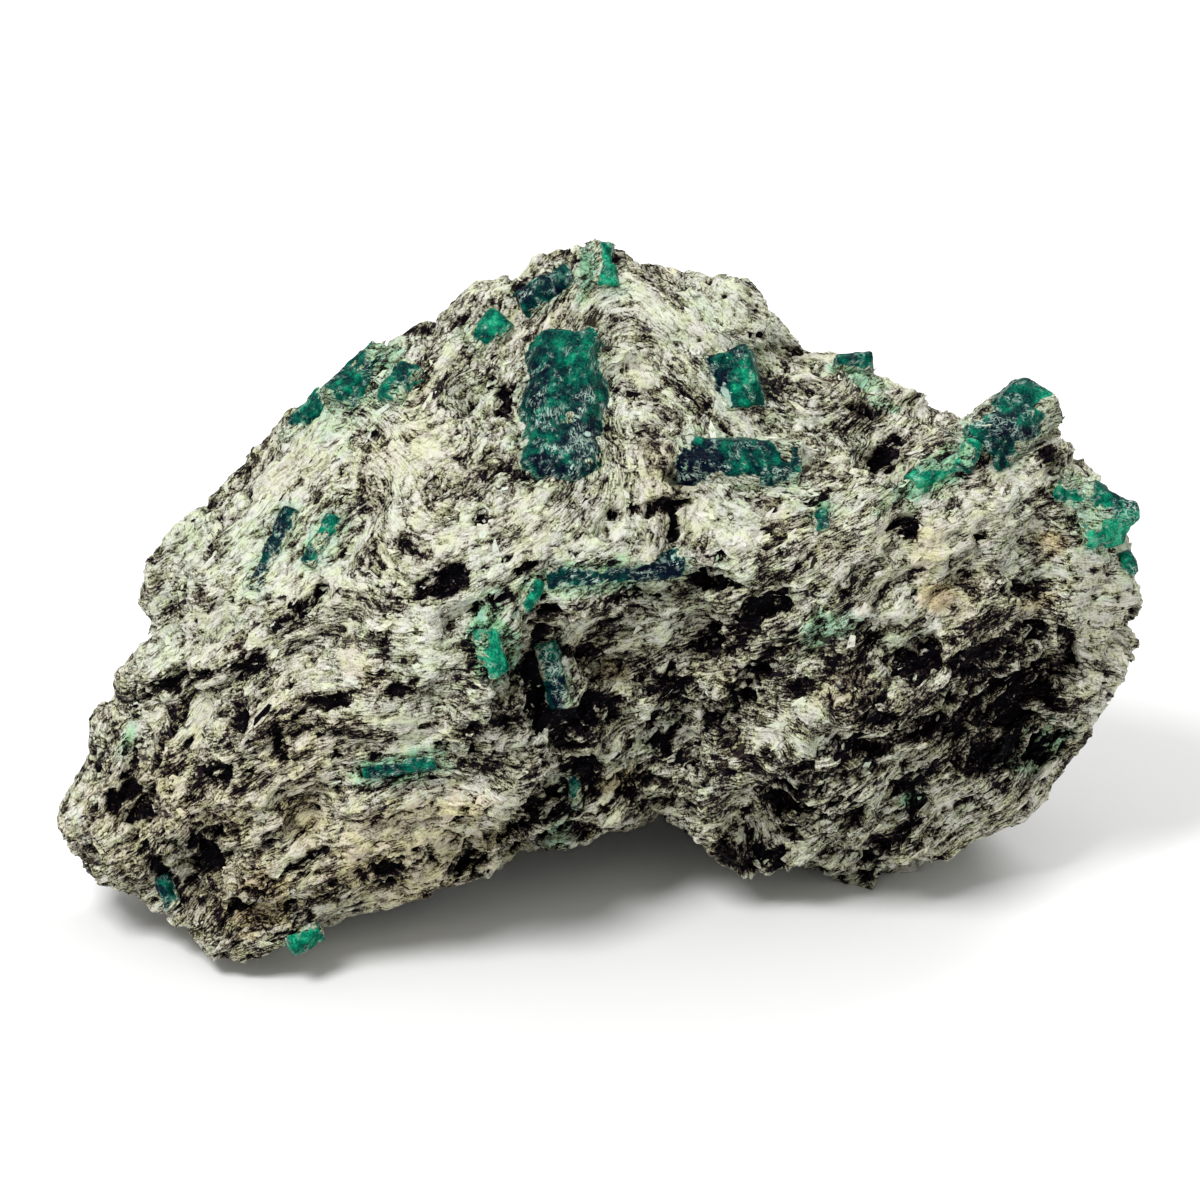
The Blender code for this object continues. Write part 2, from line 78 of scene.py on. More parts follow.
# Which way the mica layers run, zone by zone: (across, rise, degrees anticlockwise from the right)
GRAIN = [
    (-28, 38, 45),  # the long western slope
    (-36, 26, 45),  # its lower end
    (-7, 54, 40),  # the crest, left of the peak
    (9, 54, -35),  # the slope right of the peak
    (12, 43, -45),  # between the great prism and the twins
    (-6, 36, 25),  # the shelf below the great prism
    (14, 33, 45),  # below the twins
    (24, 45, 25),  # the saddle in front of the horn
    (33, 38, 0),  # the eastern shoulder
    (42, 30, -20),  # the eastern rim
    (31, 23, 35),  # the black eastern belt
    (28, 12, 40),  # the eastern underside
    (3, 22, 35),  # the black vein
    (-17, 25, 0),  # the western belly
    (-24, 14, 30),  # the western lower face
    (-39, 13, 50),  # the western end
    (-20, 5, 15),  # the western lower lip
]
GRAIN_REACH = 5.5  # how far a zone's direction is felt
LAYER_DIP = 0.45  # how much the layers also face the viewer

# Patches of the face: middle, half length and half width in millimetres, turn in degrees, strength
Patch = namedtuple("Patch", "across rise length width turn strength", defaults=(1.0,))


def patch_list(*rows):
    return [Patch(*row) for row in rows]


# Black biotite lies bare here
DARK = patch_list(
    (-35, 23.8, 2.9, 0.55, 18), (-28.8, 25.3, 1.3, 1, 30), (-22.5, 22.3, 1.7, 0.65, -5),
    (-29.5, 21, 1.3, 0.6, 85), (-26.3, 18.9, 1.6, 0.4, -75), (-32, 16.6, 1.7, 0.9, 20),
    (-38.6, 14.1, 1.7, 1.3, 10, 1.2), (-32.1, 10.3, 1.9, 1.6, 70, 1.2), (-29.2, 5.9, 1.2, 0.8, 20),
    (-35.8, 7.7, 2.2, 0.65, -50), (-17.5, 8, 1.4, 0.9, 20), (-14.2, 9.7, 0.95, 0.6, 0),
    (-10.5, 8.7, 1.3, 1.1, 60), (-15.8, 23.5, 1.4, 0.6, 10), (-12.9, 32.2, 2.1, 1, 20),
    (-10.4, 20, 0.9, 0.8, 0), (-5.2, 33.2, 1.7, 0.6, 5), (-4.3, 28.7, 1.7, 1.2, -70),
    (-4.7, 23.5, 3, 1.6, -85, 1.3), (-2.6, 19.6, 3.2, 1.2, -76, 1.3), (-0.8, 16.3, 1.6, 1.1, -80),
    (-4.6, 13, 3.6, 1.4, 40, 1.2), (0.2, 21.8, 1.5, 1.4, 0), (5.8, 23.3, 1.8, 1.5, 60),
    (5.5, 20.2, 2.5, 1.1, 82, 1.2), (3.8, 15.3, 1.6, 0.8, 15), (9.3, 32.3, 1.7, 0.7, -10),
    (13.5, 30.3, 2, 1, 25), (11.3, 28, 2.2, 1, 40), (13.5, 25.5, 2.7, 0.7, 42),
    (10.7, 22.5, 2.5, 0.95, 35), (16.7, 23.5, 1.1, 0.7, 10), (12.1, 9, 3.2, 1.8, -12, 1.3),
    (20.5, 17.7, 2.7, 1.5, 20, 1.3), (17.2, 16.3, 2.3, 0.8, 35), (23.3, 20.8, 2, 0.7, -15),
    (26, 26, 2.2, 1.3, -10, 1.3), (22.5, 27.5, 1.1, 0.8, 0), (32.1, 25.8, 2.8, 1.2, 22),
    (33.3, 22.4, 4.2, 2.4, 15, 1.3), (35.8, 28.3, 1.3, 0.8, 0), (38.8, 27.4, 1.7, 0.7, -75),
    (27.1, 20.2, 1.9, 0.8, 20), (33.3, 18, 4, 1.3, 20, 1.3), (37.3, 18.5, 1.9, 1.1, 30, 1.2),
    (24.3, 11, 3.9, 0.9, 49, 1.3), (26, 15.3, 1.6, 1.1, 0, 1.2), (20.2, 12.7, 1.8, 1.2, 30),
    (15.4, 14.5, 1.8, 1.1, 30, 0.7), (23.8, 43, 1.9, 0.9, 60), (22.2, 46.6, 1.7, 0.5, -10),
    (35, 31.5, 1.7, 0.6, -5), (4.6, 38.3, 2.8, 0.6, 8, 0.7), (-7.9, 47, 1.3, 0.6, 85, 0.8),
    (25.4, 36.6, 0.9, 0.9, 0, 0.8), (16.3, 51.9, 2.2, 0.35, 0), (-24.6, 30.3, 2.6, 0.55, 42),
    (-1.9, 26.5, 2, 0.5, -6), (-7.2, 21.2, 1, 0.5, 10), (-5.5, 32.9, 0.7, 0.9, 0),
    (-8.3, 30.6, 1.5, 0.45, 12), (3.1, 31.2, 1.7, 0.5, 15), (8.8, 27.6, 1.2, 0.45, 38),
    (-5.6, 23.2, 0.5, 1.3, 0), (-10.4, 19.2, 0.4, 1.2, 0), (-5.1, 27.6, 0.7, 1.2, 30),
    (-3.2, 20.8, 1.6, 0.9, -75, 1.3), (-2.2, 17.6, 1.8, 0.9, -78, 1.3), (-2.2, 14.2, 2, 0.8, -85, 1.2),
)
# Quartz and the palest mica
PALE = patch_list(
    (-11.7, 36.8, 2.2, 1.5, 30), (-3.8, 35.1, 2.2, 1.1, 5), (11.5, 35.3, 2.1, 1.5, 20),
    (-10, 30.5, 1.2, 1, 0), (-15, 29.3, 1.8, 1.1, 10), (-24.8, 24.5, 2, 1.2, 15),
    (-19.6, 25.5, 1.8, 1.2, -30), (-14.8, 19.5, 2.1, 1.3, 20), (19.8, 23.5, 2.3, 0.9, 22),
    (27.1, 34.9, 2.8, 1.2, 85), (27.7, 30.7, 1.3, 1, 0), (35.8, 41.2, 2.8, 1.1, -15),
    (-32.5, 20.2, 1.8, 1.2, 70), (3.3, 27, 1.7, 1, 0), (14.2, 20.3, 2.5, 1, 40), (20, 51, 3, 0.8, -12),
    (2, 49, 1.2, 4, 0, 0.5), (-1.4, 56.6, 0.8, 2.2, -8, 1.4),
)
# Painted light: broad zones that are a little lighter
PAINTED_LIGHT_ZONES = patch_list(
    (9, 55, 9, 3, -25, 0.18),  # the slope right of the peak
    (-25, 37, 13, 5, 46, 0.14),  # the long western slope
    (2, 36, 13, 3.4, 8, 0.12),  # the shelf below the great prism
    (27, 39, 9, 5, -5, 0.16),  # the eastern shoulder
    (43, 27, 3, 9, 5, 0.2),  # the eastern rim
    (31, 9.5, 9, 3.2, 30, 0.22),  # the eastern underside
    (-14, 11, 10, 4, 18, 0.18),  # the western lower lip
)
# Rust and cream
RUSTY = patch_list(
    (-16.7, 11.6, 7, 2.6, 15, 0.7), (-27.9, 5.8, 2.8, 2.6, 0, 1.2), (37.5, 35.5, 1.2, 0.8, 0, 1.2),
    (27.1, 34.9, 2.8, 1.2, 85, 0.45), (27.9, 30.9, 1.5, 1.1, 0, 1.1), (2, 15.8, 2.4, 1, 10),
    (-19.6, 25.5, 2.2, 1.4, -30, 0.5), (19.8, 23.5, 2.6, 1.1, 22, 0.5), (1, 25, 1.4, 0.9, 0, 0.8),
    (-24.5, 12.5, 2, 2, 0, 0.8), (-30, 12, 14, 8, 0, 0.3), (-14, 8, 12, 4.5, 10, 0.5),
    (-38, 13, 5, 5, 0, 0.5), (36.4, 30.6, 1.6, 0.7, 20, 0.9),
)
# Green-stained mica
MINTY = patch_list(
    (-27.2, 34, 4.6, 1.8, 68, 0.1), (-22.9, 35.7, 3, 1.5, 62, 0.1), (-1.2, 57.4, 2.2, 0.7, 80, 0.7),
    (-4.4, 55.2, 2.2, 0.8, 35, 0.3), (-39, 19.4, 1.8, 0.6, 75, 0.6), (28, 41.3, 5, 1.5, 33, 0.9),
    (-8.4, 27, 3.2, 1.8, 100, 0.9), (-16.7, 16.7, 4.2, 1.4, 8, 0.8), (19.2, 28.4, 2.4, 1.3, 20, 0.9),
    (41.8, 37.2, 4.2, 2.8, -40, 0.4), (22, 49, 2.6, 0.8, -20, 0.8), (16, 40, 2.4, 1.6, -40, 0.35),
    (0.8, 32.6, 7, 1.4, 6, 0.6), (18.4, 38.6, 0.8, 0.8, 0, 0.5), (36.5, 18.4, 3.2, 1.6, 30, 0.9),
    (-20, 48, 5, 2.6, 48, 0.5), (26, 14.2, 1, 0.7, 0, 1.2), (14, 48, 1.4, 3.6, 10, 0.3),
    (-3, 22, 1.2, 4, 10, 0.4), (23.6, 47, 1.6, 0.6, -25), (-3.6, 11, 2, 1.4, 60, 0.9),
)
# Broad zones that are a little darker: painted shade round the notch and on the crest's dark side, and the
# dark mica's own colour in the eastern belt
DUSKY = patch_list(
    (32, 23, 9, 6, 20, 0.12),  # the black eastern belt
    (17, 20, 8, 6, 30, 0.12),  # between it and the notch
    (12.5, 8.5, 4, 2.5, -10, 0.12),  # the notch's foot
    (-4, 57, 4.5, 2, 35, 0.12),  # the crest's dark side
)
# Mica in long parallel flakes
STREAKY = patch_list(
    (-20, 42, 14, 6, 45, 0.9), (-36, 24, 7, 5, 50, 0.8), (24, 46, 9, 4, -10, 0.5), (30, 11, 9, 3, 30, 0.6),
    (-25, 3, 9, 3, 15, 0.5), (14, 52, 7, 4, -30, 0.4),
)
# Mica in short crumbs
CRUMBLY = patch_list(
    (-32, 10, 8, 5, 0, 0.6), (0, 20, 7, 9, 0, 0.6), (31, 22, 8, 6, 0, 0.6), (14, 27, 8, 4, 20, 0.4),
    (-12, 22, 8, 4, 0, 0.4), (0, 36, 12, 3, 5, 0.4),
)

# The block's fine surface, in millimetres
BLOCK_VOXEL = 0.37
BLOCK_SMOOTHING = 3
SEAM = 2.8  # where the block's two halves meet, which keeps each mesh small
SEAM_OVERLAP = 0.9  # how far each half of the block runs on inside the other
BANK_ROUNDS = 45  # of smoothing, which banks the mica up against the crystals
BANK_REACH = 1.2
CRYSTAL_SKIN = 0.45  # the block dips this far under a crystal's shown faces
CRYSTAL_HEM = (0.02, 0.35)  # how far up a crystal the mica still clings, and where it ends
HOLLOW_DEPTH = 0.85  # of a dark patch
LIGHTEST = 0.88  # so that fine lines still show on the palest mica
STAIN_REACH = 1.2  # how far from a crystal the mica is green
STAIN = 0.45
BASE_LIGHT = 0.665  # of the mica: 0 is black, 1 is silver
BASE_WARMTH = 0.06
SEARCH = 2.5  # how far from the crystals and the rock distances are measured
HALF_BOX = 200  # larger than the block

# The rock stands back here, by the strength in millimetres
BARED = patch_list(
    (-2.8, 41.6, 3.4, 2.4, 0, 0.8), (-2.8, 50, 3.4, 4, 0, 0.4), (11, 41.8, 4.6, 2, -5, 0.5),
    (26.4, 39.8, 1.6, 1, 20, 1.2), (43, 37, 2.2, 2, 0, 0.5), (11, 48.5, 2.4, 3, 0, 0.4),
    (-9, 52.8, 2.2, 1.8, 40, 0.8), (-9, 26.4, 1.4, 2.2, 15, 0.4), (-16.4, 48.4, 1.8, 1.6, 40, 0.4),
    (7.4, 41, 1.4, 1.2, 0, 3.5), (-5.4, 41.4, 1, 1.4, 0), (-1.6, 41, 2, 1.2, 10, 0.8),
)
# In the same way, the rock stands out beside the horn, and the great prism at its lower end
SWOLLEN_ROCK = patch_list((37.8, 44, 1.6, 2, 0, 1.2))
SWOLLEN_CRYSTAL = patch_list((-2.4, 41.6, 4.4, 2.6, 0, 0.8))

# The mica flakes, their lengths in millimetres
FLAKES = 43000  # tried: those that lie on bare rock are kept
DUST_TRIED = 12000  # on the crystals
FLAKE_SEARCH = 3.0  # as SEARCH, for the flakes
GLINTS = 0.07  # the share of flakes that stay silver where it is dark
FLAKE_LIFT = 0.16  # how far a flake's end may stand off the block
DARK_FLAKE = 0.30  # flakes darker than this are biotite, which shines less
FLAKE_CORNERS = ((-0.5, 0.1), (-0.15, -0.5), (0.5, -0.2), (0.42, 0.35), (-0.2, 0.5))

# How green each crystal is: -1 navy, 0 dark teal, 1 bright green
HUES = {f"emerald_{name}": hue for name, hue in {
    "great_prism": 0.18, "crest_dark": 0.15, "crest_bright": 0.9, "crest_left": 0.7, "ridge_upper": 0.35,
    "ridge_inner": 0.3, "ridge_lower": 0.3, "slab_dark": -0.45, "slab_green": 0.45, "twin_upper": 0.25,
    "twin_lower": 0.05, "bead": 0.2, "skyline": 0.3, "horn": 0.3, "chain": 1.0, "east_cluster": 0.65,
    "east_bead": 0.6, "seam_long": -0.3, "seam_green": 0.8, "seam_drop": 1.0, "cavity_blade": 0.15,
    "cavity_needle": 0.1, "thin_west": 0.2, "foot": 0.9, "foot_west": 0.0,
}.items()}
CRYSTAL_VOXEL = 0.18
CRYSTAL_SMOOTHING = 7
CHIP_DEPTH = 0.06  # of the crystal's width
VEIL = (0.0, 0.9)  # how far up a crystal the mica hides it, and where it ends
VEIL_SEARCH = 4.0  # as SEARCH, for the veil
# Mica hides the crystals here
VEILED = patch_list(
    (38, 45.6, 1.3, 2.6, -12, 1.2), (36.2, 43, 1.8, 0.8, 0, 0.8), (30.4, 46.4, 2.6, 1.3, 38, 0.9),
    (-6.6, 52.6, 1.6, 0.9, 30, 0.8), (16, 39.5, 1.2, 1.6, -30, 0.9), (-7.2, 43, 0.5, 1.4, 0, 0.8),
    (-5.5, 58, 1.6, 0.8, 30, 0.7), (28.4, 42.4, 1.6, 0.7, 30), (26.6, 41.6, 1.6, 0.5, 25),
    (30.4, 42.6, 0.7, 1, 0), (39.4, 41.6, 2.2, 1.6, -40, 1.1), (40.4, 38, 1.6, 1.2, 0, 0.8),
    (6.6, 43.8, 1.6, 0.7, 25), (15.2, 44, 2, 0.8, -32, 1.1), (12, 40.5, 1.6, 0.5, 0, 1.1),
    (6.2, 39.8, 0.6, 0.5, 0, 0.9), (0.9, 52.6, 1, 0.9, -40, 0.9), (-6.8, 48, 0.5, 2, 0, 0.7),
    (8.4, 46, 0.9, 0.9, -50, 0.9), (8, 51.2, 0.8, 0.6, 0, 0.8), (-0.6, 58.6, 0.6, 2.2, -8, 1.2),
    (-28.2, 31.6, 0.7, 3, -20, 0.6), (-23, 35.2, 0.8, 1, 0, 0.6), (-2.6, 55.8, 1.6, 0.5, 20, 0.7),
    (-26.3, 44.5, 0.9, 0.9, 0), (-18.4, 51.4, 1.4, 0.8, 35, 0.8), (-22.6, 47.5, 0.8, 0.8, 0, 0.9),
    (-16.6, 47, 0.8, 1.6, 0, 0.6), (21.6, 49.6, 2, 0.5, -10, 0.9), (-9.7, 27, 0.6, 0.9, 0, 0.9),
    (-10.6, 52.6, 0.9, 1.4, 40, 0.9), (-9.6, 51.2, 1.4, 0.5, 40, 0.8), (-5, 22.6, 0.7, 1, 0, 0.9),
    (-2.6, 26.6, 0.5, 1, 0, 0.8), (-2.3, 22.4, 0.4, 0.9, 0, 0.8), (-10, 24.4, 0.8, 0.9, 0),
    (0, 31.6, 3, 0.5, 6, 0.8),
)
# Here it never does
UNVEILED = patch_list(
    (-4.8, 56.4, 3.2, 1.2, 33), (-2.8, 41, 3.8, 1.6, 0), (7.2, 40.8, 1.3, 1, 0), (26, 40.2, 1.5, 1.2, 20),
    (-0.4, 43, 1, 2.4, 0), (-9.2, 53, 1, 1, 42), (-8.3, 25.7, 0.8, 1.1, 0), (-3.9, 25.6, 0.8, 1.5, 8),
    (-24, 46.6, 1.1, 1, 40), (-20, 49, 1.7, 1.8, 40),
)
# Where crystals are darker and bluer
NAVY = patch_list(
    (-5.2, 48.4, 1, 1.8, 0, 0.6), (-1.4, 44, 1.2, 2.4, 0, 0.6), (-4.4, 41.6, 1.4, 1, 0, 0.8),
    (-1.2, 41.3, 1.2, 1, 0, 0.7), (7.8, 41.8, 2.2, 2.2, 20), (8.9, 49, 1.3, 2.4, 0, 0.9),
    (33, 44.6, 2.2, 1, 35, 0.5), (35.4, 43.6, 0.8, 1, 0, 0.9), (-4.8, 56.4, 2.6, 0.8, 33, 0.6),
    (5, 32.6, 3, 0.8, 6, 0.5), (-3.4, 23, 1.2, 1.6, 0, 0.7), (-4.4, 50.6, 0.9, 1.2, 0, 0.4),
    (30.4, 41.6, 1, 1.2, 0, 0.7), (43, 39.8, 2, 0.8, -30, 0.8),
)
# Painted light: where light coming through them makes them brighter and greener
PAINTED_THROUGH_LIGHT = patch_list(
    (26.2, 39.6, 1.5, 1.2, 0, 0.3), (28.6, 40.8, 1.2, 0.9, 30, 0.3), (42.6, 36.6, 2, 1.2, 0, 0.35),
    (37.2, 47.6, 1.6, 1.4, 35, 0.35), (-1.6, 50.8, 2.4, 1.6, 0, 0.2), (12.6, 42, 1.6, 1, 0, 0.3),
    (12.2, 48.6, 0.9, 2, 10, 0.6), (26, 40, 1.4, 1.2, 0, 0.3), (1.2, 58.6, 0.7, 1.4, 0, 0.2),
)
# Where white flecks crowd on them; the strong small patch at across 10.5, rise 47.6 turns solid white as a
# painted highlight on the upper twin
FROSTED = patch_list(
    (-3.4, 46, 2, 1.4, 0, 0.6), (-2.2, 43.6, 2, 1.2, 10, 0.5), (-2.6, 41.2, 2.4, 1, 0, 0.7),
    (8.6, 40.8, 1.4, 1, 20, 0.6), (-4.5, 56.6, 3, 1.6, 30, 0.2), (33.2, 46.2, 3, 1.4, 36, 0.4),
    (14.8, 41, 1, 0.7, -20), (1.4, 33.2, 5.5, 0.8, 6, 0.5), (-3.7, 24.6, 3, 0.8, 104, 0.8),
    (43, 38.2, 1.6, 1, 0, 0.5), (10.5, 47.6, 0.35, 0.8, 15, 3.5), (-0.9, 44.4, 0.3, 0.25, 0, 3),
)

# Seeds of the random draws and of the noise
FLAKE_SEED = 100
CRYSTAL_SEED = 200
DUST_SEED = 300

# The materials
IOR = 1.58  # of mica and of beryl alike
BUMP_HEIGHT = 0.10  # millimetres
CALM = 0.40  # how much weaker the fine detail is on the palest mica

# The camera and the room
CAMERA_DISTANCE = 1.5  # metres
FRAME_WIDTH = 0.100  # metres across the picture, at the specimen
AIM = (0.17, -3.5)  # across and rise of the picture's middle from the middle of the specimen's box
SENSOR = 36.0
SKY = 0.60
FLOOR_HALF_WIDTH = 4.0


# ---- places, noise and layers


def on_drawing(places):
    """across, rise and toward of points in millimetres."""
    offsets = places - FOOT
    return offsets @ ACROSS, offsets @ RISE, offsets @ TOWARD


def lattice(cells, seed):
    """A repeatable number from -1 to 1 for each whole-numbered cell."""
    keys = cells.astype(np.uint32)
    mixed = keys[:, 0] * np.uint32(73856093) ^ keys[:, 1] * np.uint32(19349663)
    mixed ^= keys[:, 2] * np.uint32(83492791) ^ np.uint32(seed * 7919 + 17)
    mixed = (mixed ^ (mixed >> np.uint32(15))) * np.uint32(2246822519)
    mixed = (mixed ^ (mixed >> np.uint32(13))) * np.uint32(3266489917)
    mixed ^= mixed >> np.uint32(16)
    return (mixed & np.uint32(0xFFFF)) / 32767.5 - 1.0


def noise(places, seed=0):
    """Smooth noise from -1 to 1 at points (N, 3), one lattice cell to a unit."""
    cells = np.floor(places).astype(np.int64)
    parts = places - cells
    parts = parts * parts * (3 - 2 * parts)
    total = np.zeros(len(places))
    for corner in np.ndindex(2, 2, 2):
        weights = np.prod(np.where(corner, parts, 1 - parts), axis=1)
        total += weights * lattice(cells + corner, seed)
    return total


def crumbs(places, seed):
    """Cells, one to a unit: how far each point is from its cell's edge, and the cell's own number."""
    base = np.floor(places).astype(np.int64)
    first, second = np.full(len(places), 9.0), np.full(len(places), 9.0)
    own = np.zeros(len(places))
    for shift in np.ndindex(3, 3, 3):
        cells = base + shift - 1
        jitter = np.column_stack([lattice(cells, seed + axis) for axis in range(3)])
        apart = np.linalg.norm(cells + 0.5 + 0.45 * jitter - places, axis=1)
        nearer = apart < first
        second = np.where(nearer, first, np.minimum(second, apart))
        own = np.where(nearer, lattice(cells, seed + 3), own)
        first = np.where(nearer, apart, first)
    return second - first, own


def step_up(values, low, high):
    """0 below low, 1 above high, and smooth between."""
    share = np.clip((values - low) / (high - low), 0, 1)
    return share * share * (3 - 2 * share)


def grain_centres():
    return np.array([zone[:2] for zone in GRAIN], float)


def grain_directions():
    """The direction across the layers of each zone, on the drawing."""
    turns = np.radians([turn for _, _, turn in GRAIN])
    return np.column_stack([-np.sin(turns), np.cos(turns)])


def grain_weights(flat_places):
    """How much each zone counts at points (N, 2) on the drawing."""
    centres = grain_centres()
    apart = np.linalg.norm(flat_places[:, None] - centres[None], axis=2)
    nearest = apart.min(axis=1, keepdims=True)
    weights = np.exp(-(apart**2 - nearest**2) / (2 * GRAIN_REACH**2))
    return weights / weights.sum(axis=1, keepdims=True)


def grain_heights():
    """The height of each zone's own layer, so that the layers of neighbouring zones meet half way."""
    centres = grain_centres()
    across_layers = grain_directions()
    rows, wanted = [], []
    for one in range(len(GRAIN)):
        for other in range(one):
            apart = centres[other] - centres[one]
            closeness = math.exp(-apart @ apart / (2 * (2.2 * GRAIN_REACH) ** 2))
            row = np.zeros(len(GRAIN))
            row[one], row[other] = closeness, -closeness
            rows.append(row)
            wanted.append(-closeness * (across_layers[one] + across_layers[other]) @ apart / 2)
    rows.append(np.full(len(GRAIN), 1e-3))
    wanted.append(0.0)
    return np.linalg.lstsq(np.array(rows), np.array(wanted), rcond=None)[0]


def layers(places):
    """Each point's mica layer, as a height in millimetres, and the direction across the layers."""
    across, rise, toward = on_drawing(places)
    flat_places = np.column_stack([across, rise])
    weights = grain_weights(flat_places)
    normals = grain_directions()
    centres = grain_centres()
    own = flat_places @ normals.T - (centres * normals).sum(axis=1) + grain_heights()
    height = (weights * own).sum(axis=1) + LAYER_DIP * toward
    flat_normals = weights @ normals
    solid_normals = flat_normals[:, :1] * ACROSS + flat_normals[:, 1:] * RISE + LAYER_DIP * TOWARD
    return height, unit(solid_normals)


def unit(vectors):
    return vectors / np.maximum(np.linalg.norm(vectors, axis=1, keepdims=True), 1e-9)


def layered(places, layer, along, thickness):
    """Noise coordinates of features this long along the layers and this thick across them."""
    across, _, toward = on_drawing(places)
    return np.column_stack([across / along, toward / along, layer / thickness])


# ---- what the rock is like at a place


def patches(places, listed, raggedness=0.45):
    """How far each point is inside any of the patches, from 0 to their strength."""
    across, rise, _ = on_drawing(places)
    ragged = noise(places / 0.9, 31) + 0.6 * noise(places / 0.4, 32)
    inside = np.zeros(len(places))
    for patch in listed:
        turn = math.radians(patch.turn)
        right, up = across - patch.across, rise - patch.rise
        along = right * math.cos(turn) + up * math.sin(turn)
        beside = up * math.cos(turn) - right * math.sin(turn)
        away = np.hypot(along / patch.length, beside / patch.width) + raggedness * ragged
        inside = np.maximum(inside, patch.strength * (1 - step_up(away, 0.75, 1.35)))
    return inside


def seen_from_front(normals):
    """1 where the surface faces the viewer, 0 where it faces away."""
    return step_up(normals @ TOWARD, -0.05, 0.3)


def darkness(places, normals, layer, own):
    """Where black biotite lies bare: the dark patches, less the grains whose own numbers make them pale."""
    front = seen_from_front(normals)
    elsewhere = noise(layered(places, layer, 4.2, 1.7), 41) + 0.5 * noise(places / 1.3, 42)
    shreds = noise(layered(places, layer, 2.6, 0.7), 43) + 0.4 * noise(places / 0.7, 44)
    hidden = step_up(elsewhere, 0.42, 0.75)
    # Darker towards the bottom: more dark shreds and black grains low down
    low = 1 - step_up(places[:, 2], 6, 34)
    scattered = step_up(shreds, 0.86 - 0.34 * low, 1.10 - 0.3 * low)
    shown = step_up(patches(places, DARK), 0.06, 0.5) * front
    dark = np.maximum(shown, np.maximum(hidden * (1 - front), scattered * 0.9))
    pale_grains = np.maximum(step_up(own[0], 0.80, 0.86), step_up(own[1], 0.71, 0.77))
    black_grains = step_up(-own[1], 0.955 - 0.12 * low, 0.985 - 0.12 * low)
    return np.maximum(dark * (1 - 0.8 * pale_grains), 0.9 * black_grains)


def warmth(places, normals, layer):
    """Rust and cream where it is above 0, mint green below 0."""
    front = seen_from_front(normals)
    drift = 0.5 * noise(places / 5.0, 51) + 0.5 * noise(layered(places, layer, 3.0, 0.9), 52)
    rusty, minty = patches(places, RUSTY), patches(places, MINTY)
    return BASE_WARMTH + 0.45 * drift + (rusty - minty) * front


def stained(warm, to_crystal, places):
    """The warmth, turned green where a crystal is this near."""
    near = 1 - step_up(to_crystal + 0.45 * noise(places / 0.7, 53), 0.1, STAIN_REACH)
    return warm - STAIN * near * step_up(noise(places / 1.6, 54), -0.7, 0.5)


def grains(places, layer):
    """The crumbs: how far they stand out in millimetres, their lightness with painted shade in the grooves
    between them, and both sizes' own numbers.
    """
    bend = np.column_stack([noise(places / 1.5, 70 + axis) for axis in range(3)])
    edge, own = crumbs(layered(places + 0.55 * bend, layer, 2.3, 1.25), 71)
    small_edge, small_own = crumbs(layered(places + 0.25 * bend, layer, 0.9, 0.55), 76)
    height = 0.32 * step_up(edge, 0.0, 0.45) + 0.16 * own
    height = height + 0.13 * step_up(small_edge, 0.0, 0.4) + 0.09 * small_own
    # Painted shade: each crumb is darker at its edge, in the groove where it meets the next
    light = 0.20 * own + 0.16 * small_own - 0.22 * (1 - step_up(edge, 0.0, 0.2))
    return height, light - 0.14 * (1 - step_up(small_edge, 0.0, 0.25)), (own, small_own)


def lightness(places, normals, layer, dark, grain_light_and_shade):
    """How light the mica is, from 0 for black to 1 for silver, with painted light and shade in it."""
    front = seen_from_front(normals)
    bands = noise(layered(places, layer, 3.4, 0.75), 61)
    bands = bands + 0.7 * noise(layered(places, layer, 1.8, 0.35), 62)
    zones = 0.22 * patches(places, PALE) + patches(places, PAINTED_LIGHT_ZONES, 0.2) - patches(places, DUSKY, 0.2)
    light = BASE_LIGHT + grain_light_and_shade + 0.20 * bands + 0.10 * noise(places / 5.0, 63)
    light += zones * front
    # Painted light: the mica is a little lighter higher up, where the light from above falls
    light += 0.04 * step_up(places[:, 2], 18, 42)
    return np.minimum(light, LIGHTEST) * (1 - dark) - 0.05 * dark


def streaky(places):
    """Where the mica lies in long parallel flakes, and not in crumbs: from 0 to 1."""
    drift = noise(places / 4.5, 65)
    return np.clip(0.45 + 0.5 * drift + patches(places, STREAKY, 0.2) - patches(places, CRUMBLY, 0.2), 0, 1)


# ---- meshes


def arrays_of(obj):
    """The vertices in millimetres, their normals, and the triangles of an object's mesh."""
    data = obj.data
    places = np.empty(len(data.vertices) * 3)
    data.vertices.foreach_get("co", places)
    normals = np.empty(len(data.vertices) * 3, np.float32)
    data.vertex_normals.foreach_get("vector", normals)
    data.calc_loop_triangles()
    faces = np.empty(len(data.loop_triangles) * 3, np.int32)
    data.loop_triangles.foreach_get("vertices", faces)
    return places.reshape(-1, 3) / MM, normals.reshape(-1, 3).astype(float), faces.reshape(-1, 3)


def placed(name, data):
    obj = bpy.data.objects.new(name, data)
    bpy.context.scene.collection.objects.link(obj)
    return obj


def mesh_object(name, places, faces, look, fields):
    """A new object of these vertices, in millimetres, and faces. Each field has a number a vertex."""
    data = bpy.data.meshes.new(name)
    data.vertices.add(len(places))
    data.vertices.foreach_set("co", (places * MM).ravel())
    data.loops.add(faces.size)
    data.loops.foreach_set("vertex_index", faces.astype(np.int32).ravel())
    data.polygons.add(len(faces))
    data.polygons.foreach_set("loop_start", np.arange(0, faces.size, 3, dtype=np.int32))
    data.update(calc_edges=True)
    for field, values in fields.items():
        data.attributes.new(field, "FLOAT", "POINT").data.foreach_set("value", values.astype(np.float32))
    data.materials.append(look)
    return placed(name, data)


def object_of(name, mesh):
    """A new object of this bmesh, which is used up."""
    data = bpy.data.meshes.new(name)
    mesh.to_mesh(data)
    mesh.free()
    return placed(name, data)


